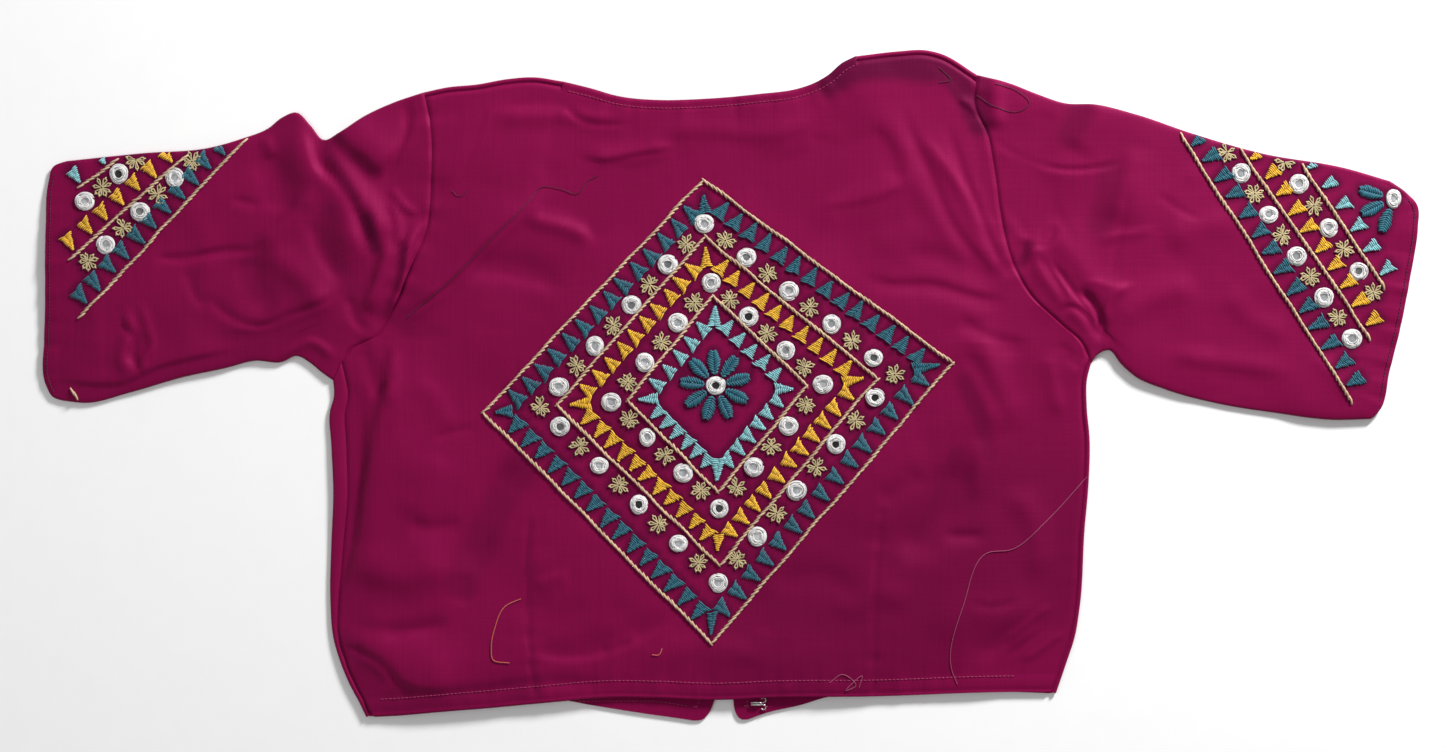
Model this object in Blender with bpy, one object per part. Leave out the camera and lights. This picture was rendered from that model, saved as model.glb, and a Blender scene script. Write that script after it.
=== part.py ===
"""Choli blouse laid flat with its back up, +Y towards the neck and +X towards the wearer's right.

The two fronts lie on the ground. Each folds round the side and the shoulder to a seam on the upper
side, where the back panel begins. Each sleeve is a flattened tube. Mirrors stand proud of the cloth.
Sizes are in millimetres here, and become metres where the objects are made.
"""

import math

import bpy
import numpy as np
from mathutils import Matrix, Vector
from mathutils.geometry import delaunay_2d_cdt

METRE = 0.001

# Cloth and seams.
CLOTH = 1.0  # wall of a plain panel
HEM_WALL = 1.9  # the turned hem of the back
CUFF_WALL = 1.6  # the turned hem of a sleeve
NECK_WALL = 1.6  # the turned edge of the neck
FRONT_EDGE_WALL = 1.4  # the turned edges of the fronts' opening and hem
HEM_DEPTH = 12.0
CUFF_DEPTH = 7.5
NECK_DEPTH = 5.0
FRONT_EDGE_DEPTH = 8.5
STEP = 1.5  # width over which a turned edge thins to plain cloth
SEAM_GAP = 0.35
FOLD_REACH = 1.6  # how far a folded edge stands out past its flat layers
SEAM_STRIP = 1.4  # cloth that comes back over a folded edge before its seam
FOLD_STEPS = 4  # faces round a folded edge

# Heights of the upper layer's inner face above the ground.
EDGE_LIFT = 1.6
HEM_LIFT = 2.9
HOOK_LIFT = 4.1
NECK_LIFT = 1.9
SLEEVE_LIFT = 3.0
LEAST_LIFT = 1.35
LIFT_SOFTNESS = 0.4  # rounds the corner where a trough comes down to LEAST_LIFT
SIDE_RISE = 0.14  # share of the back's width over which it rises from each side
HEM_RISE = 0.12  # share of its length over which it rises from the hem
NECK_FALL = (0.52, 0.82)  # shares of its length between which it comes down to the neck
STRIP_RELIEF = 0.35  # share of a fold's height that carries on into the folded edges
SLEEVE_RISE = 0.25  # share of a sleeve's length over which it rises from the armhole

# Counts of faces.
SHOULDER_COLUMNS = 7
NECK_COLUMNS = 15
SIDE_ROWS = 13
ARMHOLE_ROWS = 13
LOWER_ROWS = 8  # along the armhole, on the layer that lies on the ground
SLEEVE_STATIONS = 18
LEAST_ROW = 3.0
END_CROWDING = 0.4  # how much closer together the points lie at the ends of an edge

# Mirrors, each with a rim of thread.
MIRROR_SIDES = 8
MIRROR_RINGS = (
    # radius, height over the cloth
    (6.3, 0.0),
    (5.2, 1.1),
    (3.1, 0.6),
)
MIRROR_CLEAR = 8.0  # the cloth's own points stay this far from a mirror's centre

# The outline seen from above. Each row is a point: x, y.
BACK_HEM = (
    (-222.7, -202.4),
    (-205.0, -201.6),
    (-180.0, -199.4),
    (-146.0, -196.7),
    (-103.0, -192.8),
    (-80.0, -190.9),
    (-45.0, -191.0),
    (-11.0, -192.2),
    (30.0, -190.7),
    (91.0, -190.3),
    (153.0, -188.2),
    (198.4, -188.0),
)
LEFT_SIDE = (
    (-222.7, -202.4),
    (-227.4, -192.6),
    (-232.4, -183.3),
    (-238.5, -168.7),
    (-242.8, -154.0),
    (-244.6, -132.0),
    (-244.0, -95.5),
    (-242.8, -66.2),
    (-244.0, -36.9),
    (-244.9, -16.0),
    (-242.4, -6.0),
    (-242.8, 3.0),
)
RIGHT_SIDE = (
    (198.4, -188.0),
    (205.0, -168.7),
    (209.8, -154.0),
    (212.9, -135.7),
    (215.9, -88.1),
    (218.4, -58.9),
    (219.0, -33.2),
    (217.2, -11.9),
    (217.4, 4.0),
    (219.6, 13.0),
)
LEFT_ARMHOLE = (
    (-242.8, 3.0),
    (-237.9, 13.7),
    (-232.0, 22.0),
    (-225.7, 25.5),
    (-216.9, 29.5),
    (-211.5, 37.2),
    (-205.0, 48.5),
    (-195.8, 71.0),
    (-185.4, 97.3),
    (-183.0, 122.9),
    (-183.6, 160.7),
    (-187.3, 179.0),
)
RIGHT_ARMHOLE = (
    (219.6, 13.0),
    (214.7, 25.0),
    (201.3, 37.5),
    (182.4, 55.8),
    (171.4, 76.6),
    (164.7, 104.6),
    (161.0, 130.8),
    (156.8, 152.8),
    (148.8, 171.7),
    (150.1, 189.7),
)
LEFT_SHOULDER = (
    (-187.3, 179.0),
    (-173.2, 182.0),
    (-154.3, 183.9),
    (-137.3, 187.0),
    (-120.2, 188.2),
    (-103.1, 185.7),
)
BACK_NECK = (
    (-103.1, 185.7),
    (-86.0, 181.5),
    (-68.9, 176.6),
    (-43.3, 174.2),
    (-18.9, 174.8),
    (16.5, 177.8),
    (42.1, 181.5),
    (50.6, 184.5),
    (59.2, 189.4),
    (67.7, 196.7),
    (76.3, 201.0),
)
RIGHT_SHOULDER = (
    (76.3, 201.0),
    (101.9, 204.0),
    (119.0, 204.7),
    (127.5, 202.8),
    (150.1, 189.7),
)
LEFT_SLEEVE_TOP = (
    (-187.3, 179.0),
    (-205.6, 172.9),
    (-222.7, 165.0),
    (-239.7, 154.0),
    (-248.3, 149.8),
    (-256.8, 158.9),
    (-265.4, 166.8),
    (-273.9, 163.8),
    (-282.4, 157.1),
    (-299.5, 150.4),
    (-316.6, 145.5),
    (-359.3, 141.8),
    (-406.0, 137.0),
)
LEFT_CUFF = (
    (-406.0, 137.0),
    (-413.8, 133.5),
    (-416.6, 124.1),
    (-417.9, 98.0),
    (-418.5, 43.6),
    (-419.1, 27.8),
    (-417.9, -0.3),
    (-414.0, -7.0),
    (-408.0, -9.3),
)
LEFT_SLEEVE_UNDER = (
    (-242.8, 3.0),
    (-250.7, 8.6),
    (-256.8, 13.7),
    (-265.4, 18.0),
    (-273.9, 14.3),
    (-291.0, 15.0),
    (-308.0, 10.7),
    (-333.7, 5.2),
    (-367.8, -4.6),
    (-393.5, -10.7),
    (-408.0, -9.3),
)
RIGHT_SLEEVE_TOP = (
    (150.1, 189.7),
    (170.2, 184.5),
    (187.3, 177.8),
    (204.4, 172.3),
    (221.4, 171.7),
    (247.0, 165.6),
    (281.2, 154.0),
    (323.9, 141.8),
    (375.2, 132.7),
    (402.6, 124.7),
)
RIGHT_CUFF = (
    (402.6, 124.7),
    (413.0, 116.8),
    (418.6, 110.0),
    (418.8, 96.0),
    (414.2, 65.6),
    (406.9, 29.0),
    (401.4, 7.0),
    (396.5, -14.0),
    (391.0, -20.5),
)
RIGHT_SLEEVE_UNDER = (
    (219.6, 13.0),
    (224.0, 19.0),
    (230.0, 21.6),
    (238.5, 12.5),
    (247.0, 5.2),
    (264.1, -2.1),
    (298.3, -11.3),
    (332.5, -16.8),
    (366.6, -21.0),
    (391.0, -20.5),
)
LEFT_FRONT_HEM = (
    (-222.7, -202.4),
    (-205.0, -200.4),
    (-180.0, -197.0),
    (-110.0, -190.8),
    (-86.0, -195.0),
    (-51.9, -200.4),
    (-34.8, -202.8),
    (-23.0, -204.6),
)
RIGHT_FRONT_HEM = (
    (198.4, -188.0),
    (153.0, -186.6),
    (91.0, -188.2),
    (58.0, -190.4),
    (42.1, -195.2),
    (22.4, -199.6),
    (10.0, -204.0),
)
LEFT_FRONT_EDGE = (
    (-23.0, -204.6),
    (-17.5, -204.0),
    (-14.2, -201.0),
    (-10.7, -193.9),
    (-7.6, -183.0),
    (-6.4, -80.0),
    (-6.0, 38.0),
)
RIGHT_FRONT_EDGE = (
    (10.0, -204.0),
    (5.6, -203.6),
    (3.2, -200.6),
    (1.4, -191.8),
    (1.8, -183.0),
    (2.6, -80.0),
    (3.0, 38.0),
)
LEFT_FRONT_NECK = (
    (-6.0, 38.0),
    (-36.0, 42.0),
    (-66.0, 66.0),
    (-86.0, 110.0),
    (-97.0, 152.0),
    (-103.1, 185.7),
)
RIGHT_FRONT_NECK = (
    (3.0, 38.0),
    (26.0, 42.0),
    (48.0, 68.0),
    (62.0, 112.0),
    (70.0, 156.0),
    (76.3, 201.0),
)
# How far along the armhole from the underarm the side seam meets it.
UNDERARM_SEAM = {"left": 13.0, "right": 3.4}
# Where the left side seam runs on the upper side: y, and how far inside the outline.
LEFT_SEAM = (
    (-201.0, 3.3),
    (-150.0, 3.3),
    (-116.0, 6.4),
    (-71.0, 8.6),
    (-20.0, 9.4),
    (3.0, 8.0),
)

# The largest folds of the upper layer: the line each follows, its height and its half width.
# A negative height is a trough.
FOLDS = (
    (((-216.0, 30.0), (-213.0, 2.0), (-209.0, -22.0), (-214.0, -48.0)), 3.0, 5.0),
    (((-206.0, 24.0), (-209.0, -14.0)), 2.2, 5.0),
    (((-236.0, 8.0), (-230.0, -60.0), (-236.0, -120.0)), -2.2, 7.0),
    (((-204.0, 36.0), (-176.0, 62.0), (-138.0, 98.0), (-108.0, 122.0)), 2.6, 8.0),
    (((-240.0, -160.0), (-214.0, -176.0), (-196.0, -190.0)), 3.2, 8.0),
    (((-236.0, -104.0), (-200.0, -116.0), (-168.0, -104.0)), 2.0, 12.0),
    (((-92.0, 136.0), (-60.0, 139.0), (-32.0, 145.0)), 2.2, 7.0),
    (((-128.0, 104.0), (-108.0, 100.0), (-82.0, 90.0)), 2.0, 8.0),
    (((-152.0, 164.0), (-100.0, 164.0), (-60.0, 160.0)), 1.4, 6.0),
    (((112.0, 158.0), (140.0, 120.0), (156.0, 84.0), (180.0, 52.0)), 3.6, 11.0),
    (((90.0, 176.0), (104.0, 140.0), (132.0, 96.0), (150.0, 60.0)), 2.6, 11.0),
    (((44.0, 104.0), (86.0, 112.0), (116.0, 126.0)), 1.8, 11.0),
    (((150.0, 40.0), (158.0, 4.0), (172.0, -30.0)), 2.6, 12.0),
    (((146.0, -44.0), (130.0, -78.0), (104.0, -110.0)), -1.9, 10.0),
    (((126.0, -92.0), (160.0, -90.0)), -1.5, 7.0),
    (((120.0, -150.0), (160.0, -140.0), (190.0, -150.0)), 1.6, 10.0),
    (((-226.0, 158.0), (-236.0, 130.0), (-226.0, 104.0), (-214.0, 76.0), (-212.0, 48.0)), 6.0, 8.0),
    (((-252.0, 148.0), (-246.0, 122.0), (-234.0, 92.0), (-222.0, 62.0), (-222.0, 38.0)), -1.6, 9.0),
    (((-266.0, 160.0), (-266.0, 124.0), (-250.0, 84.0), (-238.0, 52.0)), 5.5, 11.0),
    (((-205.0, 160.0), (-204.0, 128.0), (-198.0, 98.0), (-206.0, 66.0)), 4.2, 6.0),
    (((-316.0, 34.0), (-280.0, 40.0), (-238.0, 58.0)), 2.6, 8.0),
    (((-374.0, 48.0), (-366.0, 34.0), (-371.0, 16.0), (-364.0, 4.0)), 2.4, 5.0),
    (((-290.0, 84.0), (-262.0, 66.0), (-244.0, 40.0)), 2.6, 9.0),
    (((156.0, 154.0), (168.0, 140.0), (196.0, 131.0), (240.0, 136.0)), 4.0, 6.0),
    (((166.0, 186.0), (164.0, 168.0), (166.0, 152.0)), 3.6, 6.0),
    (((164.0, 120.0), (176.0, 92.0), (188.0, 84.0), (204.0, 90.0)), 4.0, 6.5),
    (((178.0, 98.0), (192.0, 66.0), (212.0, 44.0), (222.0, 28.0)), 4.2, 7.0),
    (((206.0, 72.0), (216.0, 50.0), (226.0, 32.0)), -1.6, 6.0),
    (((196.0, 110.0), (210.0, 78.0), (224.0, 60.0), (252.0, 60.0)), 4.6, 8.0),
    (((232.0, 34.0), (250.0, 50.0), (286.0, 62.0)), 2.6, 9.0),
    (((262.0, 90.0), (290.0, 98.0), (316.0, 96.0)), 1.8, 9.0),
)

# Stitched mirrors. On the back they stand on two rings, drawn between three nested diamonds.
DIAMONDS = {
    # corners: top, right, bottom, left
    "outer": ((-17.1, 125.4), (134.8, 13.7), (-11.6, -157.1), (-150.7, -16.5)),
    "middle": ((-16.2, 90.6), (89.2, 4.5), (-6.9, -109.2), (-106.0, -12.1)),
    "inner": ((-11.0, 54.2), (46.1, -0.4), (-7.5, -64.7), (-63.1, -9.5)),
}
DIAMOND_CENTRE = (-9.5, 0.0)
MOTIF_TRACK = 0.70  # mirrors run this share of the way from one border to the next
# Places on each side of a ring. Mirrors and flowers take turns, with a mirror at the top corner.
RING_PLACES = (("outer", "middle", 9), ("middle", "inner", 6))
# A sleeve shows half a diamond: its border lines, each from the fold to the cuff, then for both
# tracks the number of places, the first of which is a flower.
SLEEVE_BORDERS = {
    "left": (
        ((-294.0, 152.8), (-397.1, 41.2)),
        ((-331.8, 140.6), (-403.2, 77.2)),
        ((-371.5, 140.0), (-397.7, 120.5)),
    ),
    "right": (
        ((272.1, 155.9), (378.8, -10.1)),
        ((310.5, 143.7), (389.8, 28.4)),
        ((346.5, 136.9), (398.3, 59.5)),
    ),
}
SLEEVE_TRACK_ENDS = {
    # share along the line where the first and the last place lie
    "left": ((7, 0.10, 0.88), (4, 0.08, 0.86)),
    "right": ((10, 0.04, 0.91), (7, 0.03, 0.93)),
}
RIGHT_SLEEVE_CENTRE = (404.0, 114.0)

# Hooks of wire, sewn inside the right front's edge.
HOOK_ROWS_Y = (-194.1, -151.0, -108.0, -65.0, -22.0, 21.0)
WIRE = 0.85
HOOK_TIP_X = 11.8
HOOK_LENGTH = 8.0
HOOK_BILL = 6.0
HOOK_BEND = 0.58
HOOK_WIRES_APART = 1.3
HOOK_LOOP = 1.5

COLOURS = {
    # red, green, blue, roughness, metallic
    "cloth": (0.235, 0.006, 0.062, 0.45, 0.0),
    "metal": (0.72, 0.72, 0.74, 0.3, 1.0),
}


def remove_everything():
    for thing in list(bpy.data.objects):
        bpy.data.objects.remove(thing)


def material(name, kind):
    made = bpy.data.materials.new(name)
    made.use_nodes = True
    red, green, blue, roughness, metallic = COLOURS[kind]
    shader = made.node_tree.nodes["Principled BSDF"]
    shader.inputs["Base Color"].default_value = (red, green, blue, 1.0)
    shader.inputs["Roughness"].default_value = roughness
    shader.inputs["Metallic"].default_value = metallic
    return made


def ease(value):
    """A smooth step from 0 to 1."""
    value = np.clip(value, 0.0, 1.0)
    return value * value * (3.0 - 2.0 * value)


def lengths(line):
    steps = np.linalg.norm(np.diff(line, axis=0), axis=1)
    return np.concatenate([[0.0], np.cumsum(steps)])


def at_lengths(line, places):
    along = lengths(line)
    return np.stack([np.interp(places, along, line[:, k]) for k in range(2)], axis=1)


def smooth(points, per_span=12):
    """A dense smooth line through the points, by Catmull-Rom spans spaced by chord."""
    points = np.array(points, float)
    ends = np.vstack([2 * points[0] - points[1], points, 2 * points[-1] - points[-2]])
    knots = lengths(ends)
    made = []
    for i in range(1, len(ends) - 2):
        p0, p1, p2, p3 = ends[i - 1 : i + 3]
        k0, k1, k2, k3 = knots[i - 1 : i + 3]
        slope1 = (p1 - p0) / (k1 - k0) - (p2 - p0) / (k2 - k0) + (p2 - p1) / (k2 - k1)
        slope2 = (p2 - p1) / (k2 - k1) - (p3 - p1) / (k3 - k1) + (p3 - p2) / (k3 - k2)
        t = np.linspace(0.0, 1.0, per_span, endpoint=False)[:, None]
        span = k2 - k1
        made.append(
            (2 * t**3 - 3 * t**2 + 1) * p1
            + (t**3 - 2 * t**2 + t) * slope1 * span
            + (3 * t**2 - 2 * t**3) * p2
            + (t**3 - t**2) * slope2 * span
        )
    return np.vstack([*made, ends[-2:-1]])


def even(line, count):
    return at_lengths(line, np.linspace(0.0, lengths(line)[-1], count + 1))


def crowded(count, amount=END_CROWDING):
    """Shares from 0 to 1, closer together towards both ends."""
    share = np.linspace(0.0, 1.0, count + 1)
    return share - amount * np.sin(2 * math.pi * share) / (2 * math.pi)


def between(line, count, margin=0.0):
    """Points along a line, closer together towards its ends, from a margin inside each end."""
    total = lengths(line)[-1]
    return at_lengths(line, margin + (total - 2 * margin) * crowded(count))


def normals(line):
    """Unit normals to the left of the line's direction."""
    along = np.gradient(line, axis=0)
    across = np.stack([-along[:, 1], along[:, 0]], axis=1)
    return across / np.linalg.norm(across, axis=1)[:, None]


def joined(*lines):
    """Lines laid end to end, each start left out where it repeats the end before it."""
    return np.vstack([lines[0]] + [line[1:] for line in lines[1:]])


def patch(bottom, top, left, right):
    """A grid between four edges, bottom and top from left to right, left and right from bottom up."""
    u = (lengths(bottom) / lengths(bottom)[-1])[None, :, None]
    v = (lengths(left) / lengths(left)[-1])[:, None, None]
    flat = (
        (1 - u) * (1 - v) * bottom[0]
        + u * (1 - v) * bottom[-1]
        + (1 - u) * v * top[0]
        + u * v * top[-1]
    )
    return (1 - v) * bottom[None] + v * top[None] + (1 - u) * left[:, None] + u * right[:, None] - flat


def relief(points):
    """Height that the folds add at points, shaped (..., 2)."""
    flat = points.reshape(-1, 2)
    total = np.zeros(len(flat))
    for route, height, half_width in FOLDS:
        line = even(smooth(route, 6), 14)
        along = lengths(line)
        best = np.full(len(flat), 1e9)
        place = np.zeros(len(flat))
        for start, end, begins in zip(line[:-1], line[1:], along[:-1]):
            step = end - start
            share = np.clip((flat - start) @ step / (step @ step), 0.0, 1.0)
            away = np.linalg.norm(flat - start - share[:, None] * step, axis=1)
            nearer = away < best
            best = np.where(nearer, away, best)
            place = np.where(nearer, begins + share * np.linalg.norm(step), place)
        share = place / along[-1]
        ends = ease(share * 4.0) * ease((1.0 - share) * 4.0)
        total += height * ends * np.exp(-((best / half_width) ** 2))
    return total.reshape(points.shape[:-1])


def kept_up(height):
    """Keeps the inner face off the layer below, without a sharp edge where it bottoms out."""
    over = height - LEAST_LIFT
    return LEAST_LIFT + (over + np.sqrt(over**2 + LIFT_SOFTNESS**2)) / 2


def with_height(points, height):
    return np.concatenate([points, np.broadcast_to(height, points.shape[:-1])[..., None]], axis=-1)


class Wall:
    """A cloth wall: pairs of an outer and an inner point, and faces that list pairs."""

    def __init__(self):
        self.outer, self.inner, self.faces = [], [], []
        self.plain = set()  # faces whose outer side is drawn again with mirrors

    def points(self, outer, inner):
        first = len(self.outer)
        shape = outer.shape[:-1]
        self.outer += [tuple(p) for p in outer.reshape(-1, 3)]
        self.inner += [tuple(p) for p in inner.reshape(-1, 3)]
        return np.arange(first, first + int(np.prod(shape))).reshape(shape)

    def quads(self, grid, turned=False, embossed=False):
        """Faces over a grid of pair numbers. Their outer side faces up where rows go up and columns right."""
        for lower, upper in zip(grid[:-1], grid[1:]):
            for a, b, c, d in zip(lower[:-1], lower[1:], upper[1:], upper[:-1]):
                self.faces.append((d, c, b, a) if turned else (a, b, c, d))
                if embossed:
                    self.plain.add(len(self.faces) - 1)

    def rim(self):
        """The directed edges that only one face uses."""
        edges = {}
        for face in self.faces:
            for a, b in zip(face, face[1:] + face[:1]):
                edges[(a, b)] = edges.get((a, b), 0) + 1
        return [(a, b) for a, b in edges if (b, a) not in edges]

    def mesh(self, name, mirrors=()):
        outer = list(self.outer)
        count = len(outer)
        faces = [tuple(count + i for i in reversed(f)) for f in self.faces]
        faces += [(b, a, count + a, count + b) for a, b in self.rim()]
        faces += [f for i, f in enumerate(self.faces) if i not in self.plain]
        extra, drawn = self.embossed(mirrors, 2 * count)
        points = outer + list(self.inner) + extra
        made = bpy.data.meshes.new(name)
        made.from_pydata([Vector(p) * METRE for p in points], [], faces + drawn)
        made.update()
        return made

    def embossed(self, mirrors, next_number):
        """The outer side of the marked faces, drawn again as triangles that take in the mirrors' rings."""
        if not self.plain:
            return [], []
        marked = [self.faces[i] for i in sorted(self.plain)]
        edges = {(a, b) for f in marked for a, b in zip(f, f[1:] + f[:1])}
        follow = {a: b for a, b in edges if (b, a) not in edges}
        loop = [next(iter(follow))]
        while follow[loop[-1]] != loop[0]:
            loop.append(follow[loop[-1]])
        centres = np.array(mirrors, float).reshape(-1, 2)
        on_loop = set(loop)
        inside = [
            i
            for i in sorted({i for f in marked for i in f} - on_loop)
            if not len(centres)
            or np.linalg.norm(centres - np.array(self.outer[i][:2]), axis=1).min() > MIRROR_CLEAR
        ]
        numbers = loop + inside
        flat = [Vector(self.outer[i][:2]) for i in numbers]
        extra = []
        for x, y in centres:
            base = self.surface_height(marked, x, y)
            for ring, (radius, height) in enumerate(MIRROR_RINGS):
                for k in range(MIRROR_SIDES):
                    turn = 2 * math.pi * (k + 0.5 * (ring % 2)) / MIRROR_SIDES
                    px, py = x + radius * math.cos(turn), y + radius * math.sin(turn)
                    z = self.surface_height(marked, px, py) if ring == 0 else base + height
                    numbers.append(next_number + len(extra))
                    flat.append(Vector((px, py)))
                    extra.append((px, py, z))
        outline = [(i, (i + 1) % len(loop)) for i in range(len(loop))]
        found, _, triangles, origins, _, _ = delaunay_2d_cdt(flat, outline, [list(range(len(loop)))], 1, 1e-5)
        if len(found) != len(flat):
            raise ValueError("points of the embossed side lie on one another")
        back = [numbers[o[0]] for o in origins]
        return extra, [tuple(back[i] for i in t) for t in triangles]

    def surface_height(self, marked, x, y):
        """Height of the outer side at a place, as a mean of the points near it."""
        if not hasattr(self, "sampled"):
            self.sampled = np.array([self.outer[i] for i in sorted({i for f in marked for i in f})])
        away = np.hypot(self.sampled[:, 0] - x, self.sampled[:, 1] - y)
        weight = 1.0 / (away + 0.5) ** 3
        return float((weight * self.sampled[:, 2]).sum() / weight.sum())


def make(name, wall, mirrors=()):
    mesh = wall.mesh(name, mirrors)
    mesh.shade_smooth()
    mesh.materials.append(material(name, "cloth"))
    bpy.context.scene.collection.objects.link(bpy.data.objects.new(name, mesh))


TABLES = {
    # side, armhole, shoulder, hem, opening, neck
    "left": (LEFT_SIDE, LEFT_ARMHOLE, LEFT_SHOULDER, LEFT_FRONT_HEM, LEFT_FRONT_EDGE, LEFT_FRONT_NECK),
    "right": (
        RIGHT_SIDE,
        RIGHT_ARMHOLE,
        RIGHT_SHOULDER[::-1],
        RIGHT_FRONT_HEM,
        RIGHT_FRONT_EDGE,
        RIGHT_FRONT_NECK,
    ),
}
SLEEVE_TABLES = {
    # upper edge, underarm edge, cuff
    "left": (LEFT_SLEEVE_TOP, LEFT_SLEEVE_UNDER, LEFT_CUFF),
    "right": (RIGHT_SLEEVE_TOP, RIGHT_SLEEVE_UNDER, RIGHT_CUFF),
}
OUTWARD = {"left": 1, "right": -1}  # a line that runs up the side has its outside on this hand


def banded(total, count, depth):
    """Places along an edge: the end of a turned band, the step past it, then even ones."""
    return np.concatenate([[0.0, depth], np.linspace(depth + STEP, total, count - 1)])


def seam_inset(y, side):
    """How far inside the outline the side seam runs."""
    plain = np.full(len(y), FOLD_REACH + SEAM_STRIP + SEAM_GAP)
    if side == "right":
        return plain
    heights, insets = zip(*LEFT_SEAM)
    return np.maximum(np.interp(y, heights, insets), plain)


def side_edge(side):
    """The outline up one side, its outward directions, and the seam's distance inside it.

    At the underarm the outward direction is that of the armhole's own end.
    """
    line = smooth(TABLES[side][0])
    line = at_lengths(line, banded(lengths(line)[-1], SIDE_ROWS, HEM_DEPTH))
    out = normals(line) * OUTWARD[side]
    hole = smooth(TABLES[side][1])
    out[-1] = (hole[0] - hole[1]) / np.linalg.norm(hole[0] - hole[1])
    return line, out, seam_inset(line[:, 1], side)


def shoulder_edge(side):
    """The outline along one shoulder from the armhole to the neck, and its outward directions."""
    line = even(smooth(TABLES[side][2]), SHOULDER_COLUMNS)
    out = normals(line) * OUTWARD[side]
    hole = smooth(TABLES[side][1])
    out[0] = (hole[-1] - hole[-2]) / np.linalg.norm(hole[-1] - hole[-2])
    return line, out


def back_lift(u, v, points):
    """Height of the back's inner face. u runs from the left side to the right, v from hem to neck."""
    from_side = ease(np.minimum(u, 1 - u) / SIDE_RISE)
    rise = HEM_LIFT + (HOOK_LIFT - HEM_LIFT) * ease(v / HEM_RISE)
    start, end = NECK_FALL
    fall = ease((v - start) / (end - start))
    middle = rise * (1 - fall) + NECK_LIFT * fall
    plain = EDGE_LIFT + (middle - EDGE_LIFT) * from_side
    return kept_up(plain + relief(points))


def back_thickness(points, hem, neck):
    to_hem = np.abs(points[..., 1] - np.interp(points[..., 0], hem[:, 0], hem[:, 1]))
    neck_y = np.interp(points[..., 0], neck[:, 0], neck[:, 1], left=1e3, right=1e3)
    to_neck = np.abs(neck_y - points[..., 1])
    at_hem = (HEM_WALL - CLOTH) * (1 - ease((to_hem - HEM_DEPTH) / STEP))
    at_neck = (NECK_WALL - CLOTH) * (1 - ease((to_neck - NECK_DEPTH) / STEP))
    return CLOTH + np.maximum(at_hem, at_neck)


def back_edge(side):
    """One edge of the back, up the side seam and round the armhole to the shoulder seam."""
    line, out, inset = side_edge(side)
    seam = line - out * inset[:, None]
    hole = smooth(TABLES[side][1])
    total = lengths(hole)[-1]
    places = FOLD_REACH + (total - 2 * FOLD_REACH) * crowded(ARMHOLE_ROWS)
    places[0] = UNDERARM_SEAM[side]
    places[1] = max(places[1], places[0] + LEAST_ROW)
    places[-1] = total - FOLD_REACH - SEAM_STRIP - SEAM_GAP
    round_it = at_lengths(hole, places)
    seam[-1] = round_it[0]
    return joined(seam, round_it)


def back_panel():
    left, right = back_edge("left"), back_edge("right")
    drop = FOLD_REACH + SEAM_STRIP + SEAM_GAP
    seams = []
    for side in ("left", "right"):
        line, out = shoulder_edge(side)
        seams.append(line - out * drop)
    neck = smooth(BACK_NECK)
    top = np.vstack([seams[0], between(neck, NECK_COLUMNS)[1:-1], seams[1][::-1]])
    hem = even(smooth(BACK_HEM), len(top) - 1)
    hem[0], hem[-1] = left[0], right[0]
    top[0], top[-1] = left[-1], right[-1]
    grid = patch(hem, top, left, right)
    under_neck = slice(SHOULDER_COLUMNS + 1, SHOULDER_COLUMNS + NECK_COLUMNS)
    grid[-2, under_neck] = grid[-1, under_neck] - (0.0, NECK_DEPTH + STEP)
    rows, columns = grid.shape[:2]
    u = np.linspace(0, 1, columns)[None, :] * np.ones((rows, 1))
    v = np.linspace(0, 1, rows)[:, None] * np.ones((1, columns))
    inner = back_lift(u, v, grid)
    outer = inner + back_thickness(grid, smooth(BACK_HEM), neck)
    wall = Wall()
    wall.quads(wall.points(with_height(grid, outer), with_height(grid, inner)), embossed=True)
    make("back", wall, back_mirrors())


def ring_points(first, second, share, places):
    """Evenly spaced places on each side of the ring that lies between two diamonds."""
    corners = [
        np.array(a) * (1 - share) + np.array(b) * share
        for a, b in zip(DIAMONDS[first], DIAMONDS[second])
    ]
    made = []
    for start, end in zip(corners, corners[1:] + corners[:1]):
        made += [start + (end - start) * k / places for k in range(places)]
    return made


def back_mirrors():
    found = [DIAMOND_CENTRE]
    for first, second, places in RING_PLACES:
        found += ring_points(first, second, MOTIF_TRACK, places)[::2]
    return found


def sleeve_mirrors(side):
    found = []
    borders = [np.array(line) for line in SLEEVE_BORDERS[side]]
    for (first, second), (count, begin, end) in zip(
        zip(borders[:-1], borders[1:]), SLEEVE_TRACK_ENDS[side]
    ):
        track = first * (1 - MOTIF_TRACK) + second * MOTIF_TRACK
        shares = np.linspace(begin, end, count)[1::2]
        found += [track[0] + (track[1] - track[0]) * s for s in shares]
    return found + ([np.array(RIGHT_SLEEVE_CENTRE)] if side == "right" else [])


def folded_edge(wall, line, outward, top_outer, top_inner, low_inner, lower, upper):
    """Rows of pairs that carry a flat lower layer round a folded edge onto an upper one.

    line holds the points where the layers begin to turn. lower and upper are the numbers of the
    pairs that the turn joins.
    """
    rows = [lower]
    for step in range(1, FOLD_STEPS):
        turn = math.pi * step / FOLD_STEPS
        out, rise = math.sin(turn), (1 - math.cos(turn)) / 2
        place = line + outward * (FOLD_REACH * out)
        inner_place = line + outward * ((FOLD_REACH - CLOTH) * out)
        inner_height = low_inner + (top_inner - low_inner) * rise
        rows.append(wall.points(with_height(place, top_outer * rise), with_height(inner_place, inner_height)))
    rows.append(upper)
    return np.array(rows)


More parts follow.
